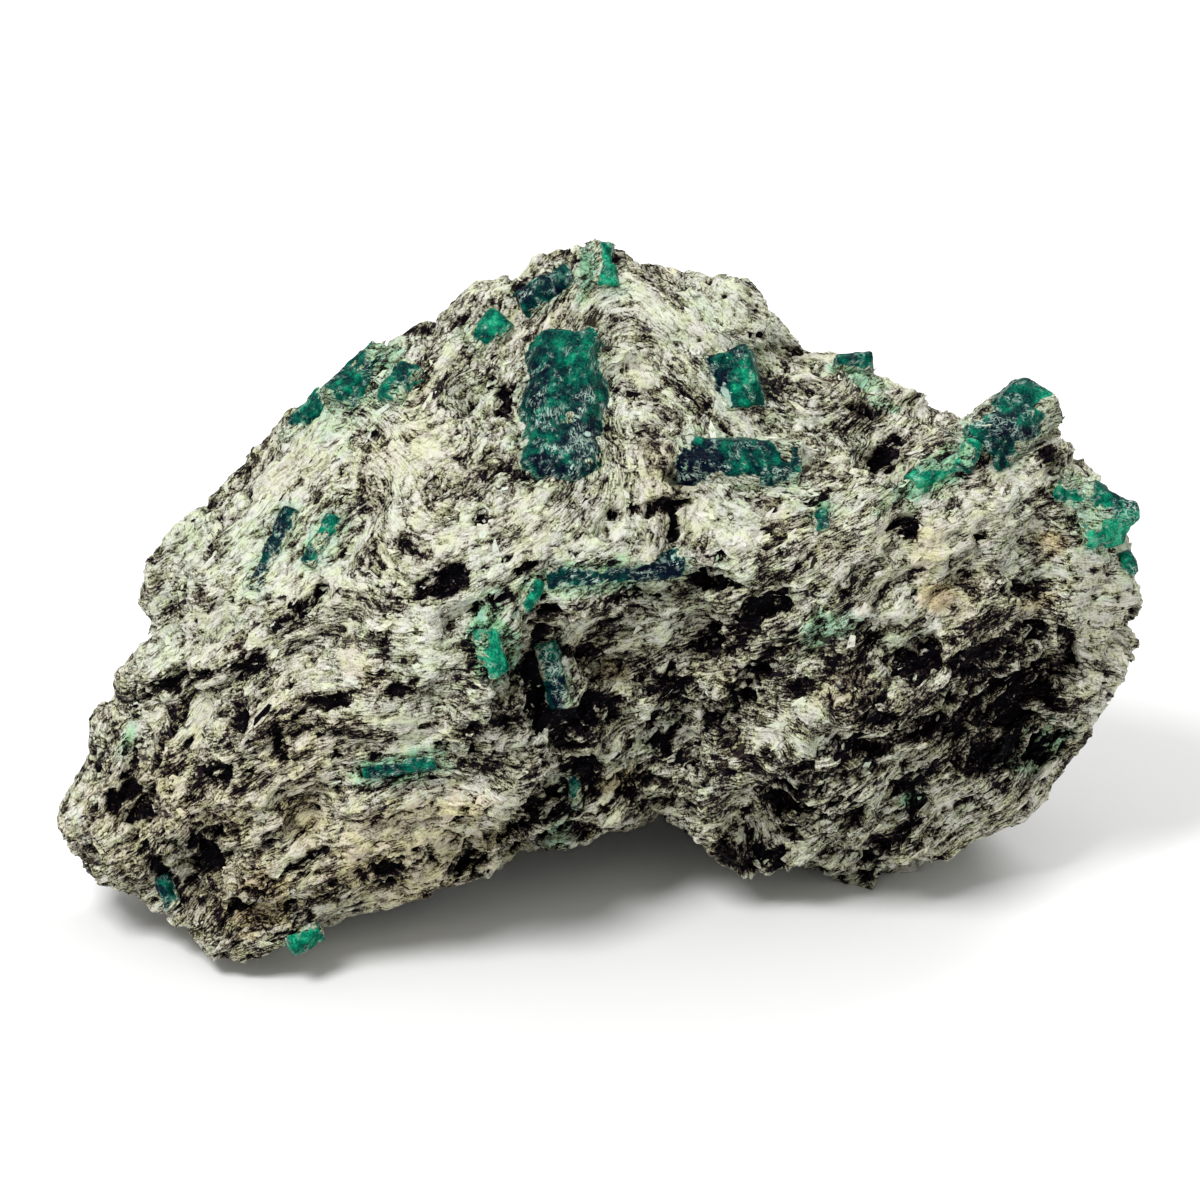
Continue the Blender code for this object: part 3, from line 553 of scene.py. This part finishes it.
def fused(sources, voxel, smoothing, kept=None):
    """One closed mesh of even small faces round these objects, or round their part inside the kept box."""
    mesh = bmesh.new()
    for source in sources:
        mesh.from_mesh(source.data)
    scratch = object_of("fused", mesh)
    if kept:
        cut = scratch.modifiers.new("half", "BOOLEAN")
        cut.operation = "INTERSECT"
        cut.object = kept
    remesh = scratch.modifiers.new("even grid", "REMESH")
    remesh.mode = "VOXEL"
    remesh.voxel_size = voxel * MM
    relax = scratch.modifiers.new("relax", "SMOOTH")
    relax.iterations = smoothing
    relax.factor = 0.5
    graph = bpy.context.evaluated_depsgraph_get()
    scratch.data = bpy.data.meshes.new_from_object(scratch.evaluated_get(graph))
    scratch.modifiers.clear()
    found = arrays_of(scratch)
    bpy.data.objects.remove(scratch)
    return found


def tree_of(objects):
    """A search tree of these objects' triangles, in millimetres."""
    places, faces, count = [], [], 0
    for obj in objects:
        own_places, _, own_faces = arrays_of(obj)
        places.append(own_places)
        faces.append(own_faces + count)
        count += len(own_places)
    return BVHTree.FromPolygons(np.vstack(places).tolist(), np.vstack(faces).tolist())


def distances(places, tree, reach):
    """How far each point is from the tree's surface, up to reach."""
    found = (tree.find_nearest(place, reach)[3] for place in places.tolist())
    return np.array([reach if distance is None else distance for distance in found])


def vertex_normals(places, faces):
    first, second, third = (places[faces[:, corner]] for corner in range(3))
    crossed = np.cross(second - first, third - first)
    normals = np.zeros_like(places)
    for corner in range(3):
        np.add.at(normals, faces[:, corner], crossed)
    return unit(normals)


# ---- the schist


def relief(places, layer, dark, grain_height):
    """How far the broken schist stands out here, in millimetres."""
    lumps = 0.30 * noise(places / 3.6, 1) + 0.13 * noise(places / 1.8, 2)
    ledges = 0.32 * np.tanh(3.0 * noise(layered(places, layer, 3.8, 1.2), 3))
    ridges = 0.13 * np.tanh(2.0 * noise(layered(places, layer, 1.8, 0.36), 4))
    calm = 1 - 0.45 * streaky(places)
    return lumps + ledges * calm + ridges + grain_height * calm - 0.25 - HOLLOW_DEPTH * dark


def relaxed(places, faces, shares, rounds):
    """The points moved towards their neighbours' middle this many times, each by its own share."""
    ends = np.concatenate([faces[:, [0, 1]], faces[:, [1, 2]], faces[:, [2, 0]]])
    ends = np.concatenate([ends, ends[:, ::-1]])
    counts = np.bincount(ends[:, 0], minlength=len(places))
    for _ in range(rounds):
        sums = [np.bincount(ends[:, 0], places[ends[:, 1], axis], len(places)) for axis in range(3)]
        middles = np.column_stack(sums) / counts[:, None]
        places = places + (middles - places) * shares[:, None]
    return places


def half_box(west):
    """A box round everything west of the seam, or east of it, and a little more."""
    mesh = bmesh.new()
    bmesh.ops.create_cube(mesh, size=HALF_BOX * MM)
    side = -1 if west else 1
    middle = SEAM + side * (HALF_BOX / 2 - SEAM_OVERLAP)
    bmesh.ops.translate(mesh, verts=mesh.verts, vec=(middle * MM, 0, 0))
    return object_of("half", mesh)


def banked(places, faces, to_crystal, to_rock, west):
    """The points, with the rock banked up against the crystals, except at the seam and at the foot."""
    near = 1 - step_up(np.maximum(to_crystal, to_rock), BANK_REACH * 0.6, BANK_REACH)
    inside = (SEAM - places[:, 0]) * (1 if west else -1)
    shares = near * step_up(inside, 0.5, 2.5)
    return relaxed(places, faces, 0.5 * shares * step_up(places[:, 2], 0.3, 1.5), BANK_ROUNDS)


def broken(places, normals, standing, to_crystal, to_rock):
    """The points, moved out by how far the rock stands here, and in under the crystals' shown faces."""
    ragged = 0.22 * noise(places / 0.9, 5) + 0.12 * noise(places / 0.4, 6)
    bare = step_up(to_rock + ragged, *CRYSTAL_HEM) * (1 - step_up(to_crystal, 0.2, 0.5))
    near_crystal = 1 - step_up(to_crystal, 0.3, 1.6)
    standing = standing * (1 - 0.6 * near_crystal) + patches(places, SWOLLEN_ROCK, 0.2)
    standing -= patches(places, BARED, 0.3) * seen_from_front(normals)
    moves = standing * (1 - bare) - CRYSTAL_SKIN * bare
    return places + normals * (moves * step_up(places[:, 2], 0.15, 1.0))[:, None]


def schist(nodes, look, west):
    """Half of the block: broken along its layers, hollow where it is dark, and dipping under crystals."""
    crystals = [node for name, node in sorted(nodes.items()) if name != "schist_matrix"]
    block = nodes["schist_matrix"]
    box = half_box(west)
    places, _, faces = fused([block] + crystals, BLOCK_VOXEL, BLOCK_SMOOTHING, box)
    bpy.data.objects.remove(box)
    to_crystal = distances(places, tree_of(crystals), SEARCH)
    to_rock = distances(places, tree_of([block]), SEARCH)
    places = banked(places, faces, to_crystal, to_rock, west)
    normals = vertex_normals(places, faces)
    layer, _ = layers(places)
    grain_height, grain_light_and_shade, own = grains(places, layer)
    dark = darkness(places, normals, layer, own)
    places = broken(places, normals, relief(places, layer, dark, grain_height), to_crystal, to_rock)
    places[:, 2] = np.maximum(places[:, 2], 0.0)
    light = lightness(places, normals, layer, dark, grain_light_and_shade)
    warm = stained(warmth(places, normals, layer), to_crystal, places)
    fields = {"layer": layer, "light": light, "warm": warm}
    made = mesh_object("schist_west" if west else "schist_east", places, faces, look, fields)
    made.data.shade_smooth()
    _, rough_normals, _ = arrays_of(made)
    return made, (places, unit(normals + 0.5 * rough_normals), faces)


def scatter(surfaces, count, rng):
    """Random points on the surfaces, given as vertices, normals and faces, and the normals there."""
    corners = np.vstack([places[faces] for places, _, faces in surfaces])
    normals = np.vstack([own_normals[faces].mean(axis=1) for _, own_normals, faces in surfaces])
    crossed = np.cross(corners[:, 1] - corners[:, 0], corners[:, 2] - corners[:, 0])
    areas = np.linalg.norm(crossed, axis=1)
    chosen = rng.choice(len(corners), size=count, p=areas / areas.sum())
    first, second = rng.random((2, count))
    over = first + second > 1
    first, second = np.where(over, 1 - first, first), np.where(over, 1 - second, second)
    corner, one, other = (corners[chosen, index] for index in range(3))
    spots = corner + first[:, None] * (one - corner) + second[:, None] * (other - corner)
    return spots, unit(normals[chosen])


def plates(spots, along, outward, lengths, widths, rng):
    """Thin closed plates: a five-cornered flake over one point. Returns (vertices, triangles)."""
    count, corners = len(spots), len(FLAKE_CORNERS)
    beside = np.cross(outward, along)
    uneven = 1 + 0.3 * rng.standard_normal((count, corners, 1)).clip(-1, 1)
    outline = np.array(FLAKE_CORNERS)[None] * uneven
    wave = 0.03 * rng.standard_normal((count, corners))
    right = outline[:, :, :1] * lengths[:, None, None] * along[:, None]
    up = outline[:, :, 1:] * widths[:, None, None] * beside[:, None]
    rims = spots[:, None] + right + up + wave[:, :, None] * outward[:, None]
    thick = 0.12 + 0.5 * widths
    under = spots - outward * thick[:, None]
    places = np.concatenate([rims, under[:, None]], axis=1).reshape(-1, 3)
    tops = [(0, index, index + 1) for index in range(1, corners - 1)]
    sides = [((index + 1) % corners, index, corners) for index in range(corners)]
    starts = np.arange(count) * (corners + 1)
    return places, (starts[:, None, None] + np.array(tops + sides)[None]).reshape(-1, 3)


def flake_directions(spots, outward, roll, pitch, turn, rng):
    """Which way each flake runs, along the layers where the surface cuts them, and which way it faces."""
    _, across_layers = layers(spots)
    along = unit(np.cross(across_layers, outward))
    count = len(spots)
    roll, pitch, turn = (np.radians(spread) * rng.standard_normal(count) for spread in (roll, pitch, turn))
    beside = np.cross(outward, along)
    along = unit(along + beside * np.tan(turn)[:, None] + outward * np.tan(pitch)[:, None])
    beside = unit(np.cross(outward, along))
    facing = unit(outward + beside * np.tan(roll.clip(-1.1, 1.1))[:, None])
    return along, unit(facing - along * (facing * along).sum(axis=1)[:, None])


def flake_mesh(name, spots, along, facing, lengths, widths, light, warm, look, rng):
    places, faces = plates(spots, along, facing, lengths, widths, rng)
    places[:, 2] = np.maximum(places[:, 2], 0.0)
    each = len(FLAKE_CORNERS) + 1
    layer, _ = layers(places)
    fields = {"layer": layer, "light": np.repeat(light, each), "warm": np.repeat(warm, each)}
    made = mesh_object(name, places, faces, look, fields)
    made.data.shade_flat()
    return made


def outside(spots, objects):
    """Which of the points are in none of the objects."""
    tree = tree_of(objects)
    apart = np.ones(len(spots))
    for index, spot in enumerate(spots):
        place, normal, _, _ = tree.find_nearest(Vector(spot), FLAKE_SEARCH)
        if place is not None:
            apart[index] = (Vector(spot) - place).dot(normal)
    return apart > 0


def lying(spots, along, lengths, halves):
    """Which flakes lie on the block, with neither end in the air."""
    tree = tree_of(halves)
    lies = np.ones(len(spots), bool)
    for side in (-0.5, 0.5):
        ends = spots + side * lengths[:, None] * along
        for index, end in enumerate(ends):
            place, normal, _, apart = tree.find_nearest(Vector(end), FLAKE_SEARCH)
            lies[index] &= apart < FLAKE_LIFT or (Vector(end) - place).dot(normal) < 0
    return lies


def flake_sizes(streak, rng):
    """The flakes' lengths and widths: long and narrow where the mica is streaky."""
    count = len(streak)
    lengths = (np.exp(rng.normal(0, 0.5, count)) * (0.62 + 0.42 * streak)).clip(0.3, 2.4)
    widths = lengths * rng.uniform(0.16, 0.34, count) * (1 + 1.3 * (1 - streak))
    return lengths, widths.clip(0.13, 0.7)


def flake_tones(spots, outward, crystals, rng):
    """The flakes' lightness and warmth: the rock's own there, and each a little off it."""
    count = len(spots)
    layer, _ = layers(spots)
    _, grain_light_and_shade, own = grains(spots, layer)
    dark = darkness(spots, outward, layer, own)
    glint = rng.random(count) < GLINTS
    light = lightness(spots, outward, layer, dark * ~glint, grain_light_and_shade)
    light = light + rng.normal(0, 0.16, count) * (1 - 0.85 * dark)
    warm = stained(warmth(spots, outward, layer), distances(spots, tree_of(crystals), SEARCH), spots)
    return light, warm + rng.normal(0, 0.12, count)


def flakes(halves, surfaces, crystals, looks, seed):
    """Mica flakes along the layers all over the block: pale ones in two pieces, and dark ones in one."""
    rng = np.random.default_rng(seed)
    spots, outward = scatter(surfaces, FLAKES, rng)
    bare = outside(spots, crystals)
    spots, outward = spots[bare], outward[bare]
    streak = streaky(spots)
    along, facing = flake_directions(spots, outward, 15 - 6 * streak, 3, 38 - 28 * streak, rng)
    lengths, widths = flake_sizes(streak, rng)
    spots = spots + outward * rng.uniform(-0.06, 0.03, len(spots))[:, None]
    lies = lying(spots, along, lengths, halves)
    spots, outward, along, facing = spots[lies], outward[lies], along[lies], facing[lies]
    lengths, widths = lengths[lies], widths[lies]
    light, warm = flake_tones(spots, outward, crystals, rng)
    pale = light > DARK_FLAKE
    west = spots[:, 0] < 0
    made = []
    groups = (("mica_west", pale & west), ("mica_east", pale & ~west), ("mica_dark", ~pale))
    for (name, chosen), look in zip(groups, (looks[0], looks[0], looks[1])):
        parts = (values[chosen] for values in (spots, along, facing, lengths, widths, light, warm))
        made.append(flake_mesh(name, *parts, look, rng))
    return made


# ---- the emeralds


def veiling(places, block):
    """How far mica hides a crystal: round its foot and in the veiled patches, from 0 to 1."""
    to_rock = distances(places, tree_of([block]), VEIL_SEARCH)
    ragged = 0.50 * noise(places / 1.5, 15) + 0.30 * noise(places / 0.6, 16)
    veil = np.maximum(1 - step_up(to_rock + ragged, *VEIL), np.minimum(patches(places, VEILED, 0.6), 1))
    return veil * (1 - patches(places, UNVEILED, 0.5))


def emerald(node, block, look, seed):
    """A rough crystal: the node's prism with worn edges, chips broken out, and mica veiling its foot."""
    places, normals, faces = fused([node], CRYSTAL_VOXEL, CRYSTAL_SMOOTHING)
    middle = places.mean(axis=0)
    _, _, axes = np.linalg.svd(places - middle, full_matrices=False)
    along, one, other = ((places - middle) @ axis for axis in axes)
    width = min(np.ptp(one), np.ptp(other), 4.0)
    grooves = noise(np.column_stack([along / 4.0, one / 0.4, other / 0.4]), seed)
    chips = noise(places / 1.3, seed + 1) + 0.5 * noise(places / 0.6, seed + 2)
    rough = noise(places / 0.5, seed + 3)
    veil = veiling(places, block)
    moves = 0.05 * grooves - CHIP_DEPTH * width * step_up(chips, 0.2, 0.8) + 0.07 * rough + 0.12 * veil
    moves += 0.08 * width * noise(places / (0.5 * width), seed + 4) - 0.08
    moves += patches(places, SWOLLEN_CRYSTAL, 0.1) * (1 - step_up(normals @ TOWARD, 0.4, 0.8))
    places = places + normals * moves[:, None]
    hue = HUES[node.name] + 0.4 * noise(places / 1.4, seed + 5)
    # Painted light makes the crystals brighter and greener in places
    hue += patches(places, PAINTED_THROUGH_LIGHT, 0.6) - 1.2 * patches(places, NAVY, 0.6)
    frosted = 0.1 + 0.5 * noise(places / 1.5, seed + 6) + patches(places, FROSTED, 0.6)
    layer, _ = layers(places)
    warm = -0.3 - patches(places, MINTY)
    fields = {"hue": hue, "frost": frosted, "veil": veil, "layer": layer, "warm": warm}
    made = mesh_object(node.name.replace("emerald", "crystal"), places, faces, look, fields)
    made.data.shade_smooth()
    return made


def crystal_dust(crystals, block, look, seed):
    """Mica flakes that cling to the crystals, most of them where the mica veils them."""
    rng = np.random.default_rng(seed)
    spots, outward = scatter([arrays_of(crystal) for crystal in crystals], DUST_TRIED, rng)
    veil = veiling(spots, block)
    kept = rng.random(DUST_TRIED) < 0.03 + 0.12 * patches(spots, FROSTED, 0.6) + veil
    spots, outward, veil = spots[kept], outward[kept], veil[kept]
    count = len(spots)
    along, facing = flake_directions(spots, outward, 14, 4, 25, rng)
    lengths = rng.uniform(0.3, 0.7, count) * (1 + 0.6 * veil)
    widths = lengths * rng.uniform(0.14, 0.45, count)
    layer, _ = layers(spots)
    _, grain_light_and_shade, _ = grains(spots, layer)
    light = rng.normal(0.66, 0.18, count) + grain_light_and_shade
    warm = rng.normal(-0.9, 0.3, count) + 0.7 * veil
    spots = spots - outward * 0.04
    return flake_mesh("mica_on_crystals", spots, along, facing, lengths, widths, light, warm, look, rng)


# ---- materials


def shader_of(name):
    """A new node material, its tree and its Principled shader."""
    made = bpy.data.materials.new(name)
    made.use_nodes = True
    return made, made.node_tree, made.node_tree.nodes["Principled BSDF"]


def add(tree, kind, settings=None, **inputs):
    """A new node. Its inputs, given by name or as _number, are set to values or joined to outputs."""
    node = tree.nodes.new(kind)
    for setting, value in (settings or {}).items():
        setattr(node, setting, value)
    for name, value in inputs.items():
        socket = node.inputs[int(name[1:])] if name[0] == "_" else node.inputs[name]
        if isinstance(value, bpy.types.NodeSocket):
            tree.links.new(value, socket)
        else:
            socket.default_value = value
    return node


def attribute(tree, name):
    return add(tree, "ShaderNodeAttribute", {"attribute_name": name}).outputs["Fac"]


def math_node(tree, operation, first, second=0.0, third=0.0):
    return add(tree, "ShaderNodeMath", {"operation": operation}, _0=first, _1=second, _2=third).outputs[0]


def scaled(tree, value, factor, offset):
    return math_node(tree, "MULTIPLY_ADD", value, factor, offset)


def millimetres(tree):
    place = add(tree, "ShaderNodeTexCoord").outputs["Object"]
    return add(tree, "ShaderNodeVectorMath", {"operation": "SCALE"}, Vector=place, Scale=1 / MM).outputs[0]


def layered_noise(tree, place, layer, along, thickness, detail=2.0):
    """Noise drawn out along the layers."""
    across_layers = math_node(tree, "DIVIDE", layer, thickness)
    settings = {"noise_dimensions": "4D"}
    inputs = {"Vector": place, "W": across_layers, "Scale": 1 / along, "Detail": detail}
    return add(tree, "ShaderNodeTexNoise", settings, **inputs).outputs["Fac"]


def plain_noise(tree, place, size, detail=2.0):
    return add(tree, "ShaderNodeTexNoise", Vector=place, Scale=1 / size, Detail=detail).outputs["Fac"]


def ramp(tree, value, stops):
    """A colour ramp through (position, colour) stops."""
    made = add(tree, "ShaderNodeValToRGB", Fac=value)
    elements = made.color_ramp.elements
    while len(elements) < len(stops):
        elements.new(0.5)
    for element, (position, colour) in zip(elements, stops):
        element.position = position
        element.color = (*colour, 1.0)
    return made.outputs["Color"]


def mixed(tree, share, first, second, blend="MIX"):
    settings = {"data_type": "RGBA", "blend_type": blend, "clamp_factor": True}
    return add(tree, "ShaderNodeMix", settings, _0=share, _6=first, _7=second).outputs[2]


MICA_STOPS = [
    (0.06, (0.0006, 0.0002, 0.0014)), (0.22, (0.010, 0.005, 0.011)), (0.35, (0.050, 0.042, 0.026)),
    (0.50, (0.20, 0.190, 0.138)), (0.70, (0.40, 0.410, 0.335)), (0.95, (0.64, 0.660, 0.580)),
]
TINTS = [
    (0.00, (0.16, 0.58, 0.42)), (0.25, (0.50, 0.88, 0.72)), (0.40, (0.86, 0.97, 0.90)),
    (0.50, (1.0, 1.0, 1.0)), (0.75, (1.0, 0.87, 0.70)), (1.00, (0.95, 0.70, 0.48)),
]
MICA_CASTS = [(0.0, (0.98, 1.0, 0.82)), (0.5, (0.99, 0.98, 0.93)), (1.0, (1.0, 0.955, 0.99))]


def clear(tree, value, low, high):
    """0 below low and 1 above high, or the other way round where high is the smaller."""
    return add(tree, "ShaderNodeMapRange", Value=value, _1=low, _2=high).outputs[0]


def ridge(tree, value, thin, thick):
    """1 on the thin lines where a noise passes its middle, 0 away from them."""
    away = math_node(tree, "ABSOLUTE", math_node(tree, "ADD", value, -0.5))
    return clear(tree, away, thick, thin)


def fine_mica(tree, place, layer):
    """Hair lines along the layers, specks, cracks with painted shade in them, and pale curls: about -0.5 to
    0.5.
    """
    lines = clear(tree, layered_noise(tree, place, layer, 0.9, 0.16, 1.0), 0.40, 0.60)
    specks = clear(tree, plain_noise(tree, place, 0.17, 1.0), 0.38, 0.62)
    # Painted shade: thin dark lines in the cracks along the layers, which the bump also sinks
    crack_shade = ridge(tree, layered_noise(tree, place, layer, 1.5, 0.45, 2.0), 0.0, 0.035)
    curls = ridge(tree, plain_noise(tree, place, 0.6, 2.0), 0.010, 0.030)
    curls = math_node(tree, "MULTIPLY", curls, clear(tree, plain_noise(tree, place, 1.5, 1.0), 0.48, 0.56))
    total = scaled(tree, lines, 0.5, scaled(tree, specks, 0.36, -0.40))
    total = scaled(tree, crack_shade, -0.42, total)
    return scaled(tree, curls, 0.30, total)


def mica_colour(tree, light, warm, place):
    """Black biotite to silver muscovite by lightness, olive or lilac by place, and tinted by warmth."""
    colour = ramp(tree, light, MICA_STOPS)
    cast = clear(tree, plain_noise(tree, place, 1.1, 2.0), 0.38, 0.62)
    colour = mixed(tree, 1.0, colour, ramp(tree, cast, MICA_CASTS), "MULTIPLY")
    tint = ramp(tree, scaled(tree, warm, 0.25, 0.5), TINTS)
    return mixed(tree, 1.0, colour, tint, "MULTIPLY")


def finish(tree, shader, colour, roughness, height, bump, gloss):
    """Gives the shader its colour and roughness, and a fine relief of this height."""
    tree.links.new(colour, shader.inputs["Base Color"])
    tree.links.new(roughness, shader.inputs["Roughness"])
    raised = add(tree, "ShaderNodeBump", Strength=bump, Distance=BUMP_HEIGHT * MM, Height=height)
    tree.links.new(raised.outputs[0], shader.inputs["Normal"])
    shader.inputs["IOR"].default_value = IOR
    shader.inputs["Specular IOR Level"].default_value = gloss


def mica(name, contrast, roughness, bump, gloss):
    """Layered mica: its own lightness and warmth, with fine detail of this contrast."""
    made, tree, shader = shader_of(name)
    place = millimetres(tree)
    fine = fine_mica(tree, place, attribute(tree, "layer"))
    own_light = attribute(tree, "light")
    calmed = scaled(tree, clear(tree, own_light, 0.70, 0.88), -CALM * contrast, contrast)
    light = scaled(tree, fine, calmed, own_light)
    colour = mica_colour(tree, light, attribute(tree, "warm"), place)
    finish(tree, shader, colour, scaled(tree, fine, -0.3, roughness), fine, bump, gloss)
    return made


GEM_STOPS = [
    (0.00, (0.0002, 0.002, 0.010)), (0.20, (0.0002, 0.007, 0.016)), (0.38, (0.0002, 0.024, 0.023)),
    (0.58, (0.0002, 0.075, 0.052)), (0.80, (0.0004, 0.19, 0.100)), (1.00, (0.03, 0.38, 0.21)),
]
FROST = (0.46, 0.62, 0.54, 1.0)
THIN_VEIL = (0.20, 0.36, 0.28, 1.0)


def flecks(tree, place, layer, length, thickness):
    """Small angular flecks drawn out along the layers, each with its own number from 0 to 1."""
    settings = {"voronoi_dimensions": "4D"}
    across_layers = math_node(tree, "DIVIDE", layer, thickness)
    made = add(tree, "ShaderNodeTexVoronoi", settings, Vector=place, W=across_layers, Scale=1 / length)
    return made.outputs["Color"]


def gem_colour(tree, place, layer):
    """Navy to bright green by the hue, with white flecks where it is frosted and solid white spots where
    the frost is strongest, one of them a painted highlight, and the relief's height.
    """
    clouds = clear(tree, plain_noise(tree, place, 0.9, 3.0), 0.34, 0.66)
    fine = clear(tree, plain_noise(tree, place, 0.20, 2.0), 0.36, 0.64)
    shift = scaled(tree, clouds, 0.40, scaled(tree, fine, 0.22, 0.10))
    colour = ramp(tree, scaled(tree, attribute(tree, "hue"), 0.36, shift), GEM_STOPS)
    frost = attribute(tree, "frost")
    cluster = scaled(tree, frost, 0.16, plain_noise(tree, place, 1.0, 3.0))
    cluster = clear(tree, cluster, 0.53, 0.72)
    fibres = ridge(tree, plain_noise(tree, place, 1.3, 2.0), 0.006, 0.018)
    small = clear(tree, flecks(tree, place, layer, 0.20, 0.16), 0.70, 0.76)
    large = clear(tree, flecks(tree, place, layer, 0.42, 0.24), 0.76, 0.82)
    white = math_node(tree, "MAXIMUM", math_node(tree, "MAXIMUM", small, large), fibres)
    # Solid white where the frost is strongest, the upper twin's painted highlight among them
    white_spot = clear(tree, scaled(tree, fine, 0.9, frost), 1.9, 2.6)
    white = math_node(tree, "MAXIMUM", math_node(tree, "MULTIPLY", white, cluster), white_spot)
    colour = mixed(tree, math_node(tree, "MULTIPLY", white, 0.8), colour, FROST)
    return colour, math_node(tree, "ADD", fine, white)


def beryl(name):
    """Green beryl under a broken veil of mica."""
    made, tree, shader = shader_of(name)
    place = millimetres(tree)
    colour, height = gem_colour(tree, place, attribute(tree, "layer"))
    cover = scaled(tree, attribute(tree, "veil"), 0.6, plain_noise(tree, place, 0.5, 4.0))
    veil = clear(tree, cover, 0.75, 0.82)
    fine = fine_mica(tree, place, attribute(tree, "layer"))
    thin = math_node(tree, "MULTIPLY", clear(tree, cover, 0.58, 0.78), clear(tree, fine, -0.30, 0.35))
    colour = mixed(tree, math_node(tree, "MULTIPLY", thin, 0.75), colour, THIN_VEIL)
    silver = mica_colour(tree, scaled(tree, fine, 0.8, 0.66), attribute(tree, "warm"), place)
    colour = mixed(tree, veil, colour, silver)
    roughness = scaled(tree, height, 0.15, 0.20)
    height = math_node(tree, "ADD", height, scaled(tree, fine, veil, veil))
    finish(tree, shader, colour, roughness, height, bump=0.5, gloss=0.03)
    return made


# ---- the stage


def plain(name, colour, roughness):
    made, _, shader = shader_of(name)
    shader.inputs["Base Color"].default_value = (*colour, 1.0)
    shader.inputs["Roughness"].default_value = roughness
    return made


def floor():
    mesh = bmesh.new()
    bmesh.ops.create_grid(mesh, x_segments=1, y_segments=1, size=FLOOR_HALF_WIDTH)
    obj = object_of("floor", mesh)
    obj.data.materials.append(plain("floor", (0.92, 0.92, 0.92), 0.9))


def softbox(name, place, aim, size, power):
    data = bpy.data.lights.new(name, "AREA")
    data.shape = "DISK"
    data.size = size
    data.energy = power
    obj = placed(name, data)
    obj.location = place
    obj.rotation_euler = (Vector(aim) - Vector(place)).to_track_quat("-Z", "Y").to_euler()


def studio():
    """A white room with a soft light over the viewer's left shoulder and a weaker one behind."""
    world = bpy.data.worlds.new("studio")
    world.use_nodes = True
    sky = world.node_tree.nodes["Background"]
    sky.inputs["Color"].default_value = (1.0, 1.0, 1.0, 1.0)
    sky.inputs["Strength"].default_value = SKY
    bpy.context.scene.world = world
    middle = (0, 0, 0.027)
    softbox("key", (-0.35, -0.45, 0.75), middle, size=0.35, power=7.0)
    softbox("back", (0.3, 0.5, 0.6), middle, size=0.4, power=3.0)
    bpy.context.scene.view_settings.view_transform = "Standard"


def camera(box):
    low, high = box
    middle = (np.array(low) + np.array(high)) / 2
    aim = middle + MM * (AIM[0] * ACROSS + AIM[1] * RISE)
    data = bpy.data.cameras.new("camera")
    data.sensor_width = SENSOR
    data.lens = SENSOR * CAMERA_DISTANCE / FRAME_WIDTH
    data.clip_start = 0.05
    obj = placed("camera", data)
    obj.location = aim + CAMERA_DISTANCE * TOWARD
    obj.rotation_euler = (math.pi / 2 - VIEW_TILT, 0, 0)
    bpy.context.scene.camera = obj


def rock(nodes):
    """Both halves of the schist, and the surfaces that its flakes lie on."""
    look = mica("schist", contrast=0.76, roughness=0.55, bump=0.7, gloss=0.03)
    halves = [schist(nodes, look, west) for west in (True, False)]
    for half, _ in halves:
        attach(half, "root")
        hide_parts("schist_matrix")
    return zip(*halves)


def emeralds(nodes, block):
    look = beryl("emerald")
    crystals = []
    for number, name in enumerate(sorted(HUES)):
        crystal = emerald(nodes[name], block, look, CRYSTAL_SEED + 10 * number)
        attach(crystal, "root")
        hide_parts(name)
        crystals.append(crystal)
    return crystals


def loose_mica(halves, surfaces, crystals, block):
    pale_look = mica("pale_mica", contrast=0.60, roughness=0.40, bump=0.4, gloss=0.25)
    dark_look = mica("biotite", contrast=0.12, roughness=0.40, bump=0.3, gloss=0.03)
    for coat in flakes(halves, surfaces, crystals, (pale_look, dark_look), FLAKE_SEED):
        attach(coat, "root")
    dust = crystal_dust(crystals, block, pale_look, DUST_SEED)
    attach(dust, "root")


def build():
    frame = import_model()
    nodes = frame["nodes"]
    cad_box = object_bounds()
    camera(cad_box)
    studio()
    floor()

    block = nodes["schist_matrix"]
    halves, surfaces = rock(nodes)
    crystals = emeralds(nodes, block)
    loose_mica(halves, surfaces, crystals, block)


build()
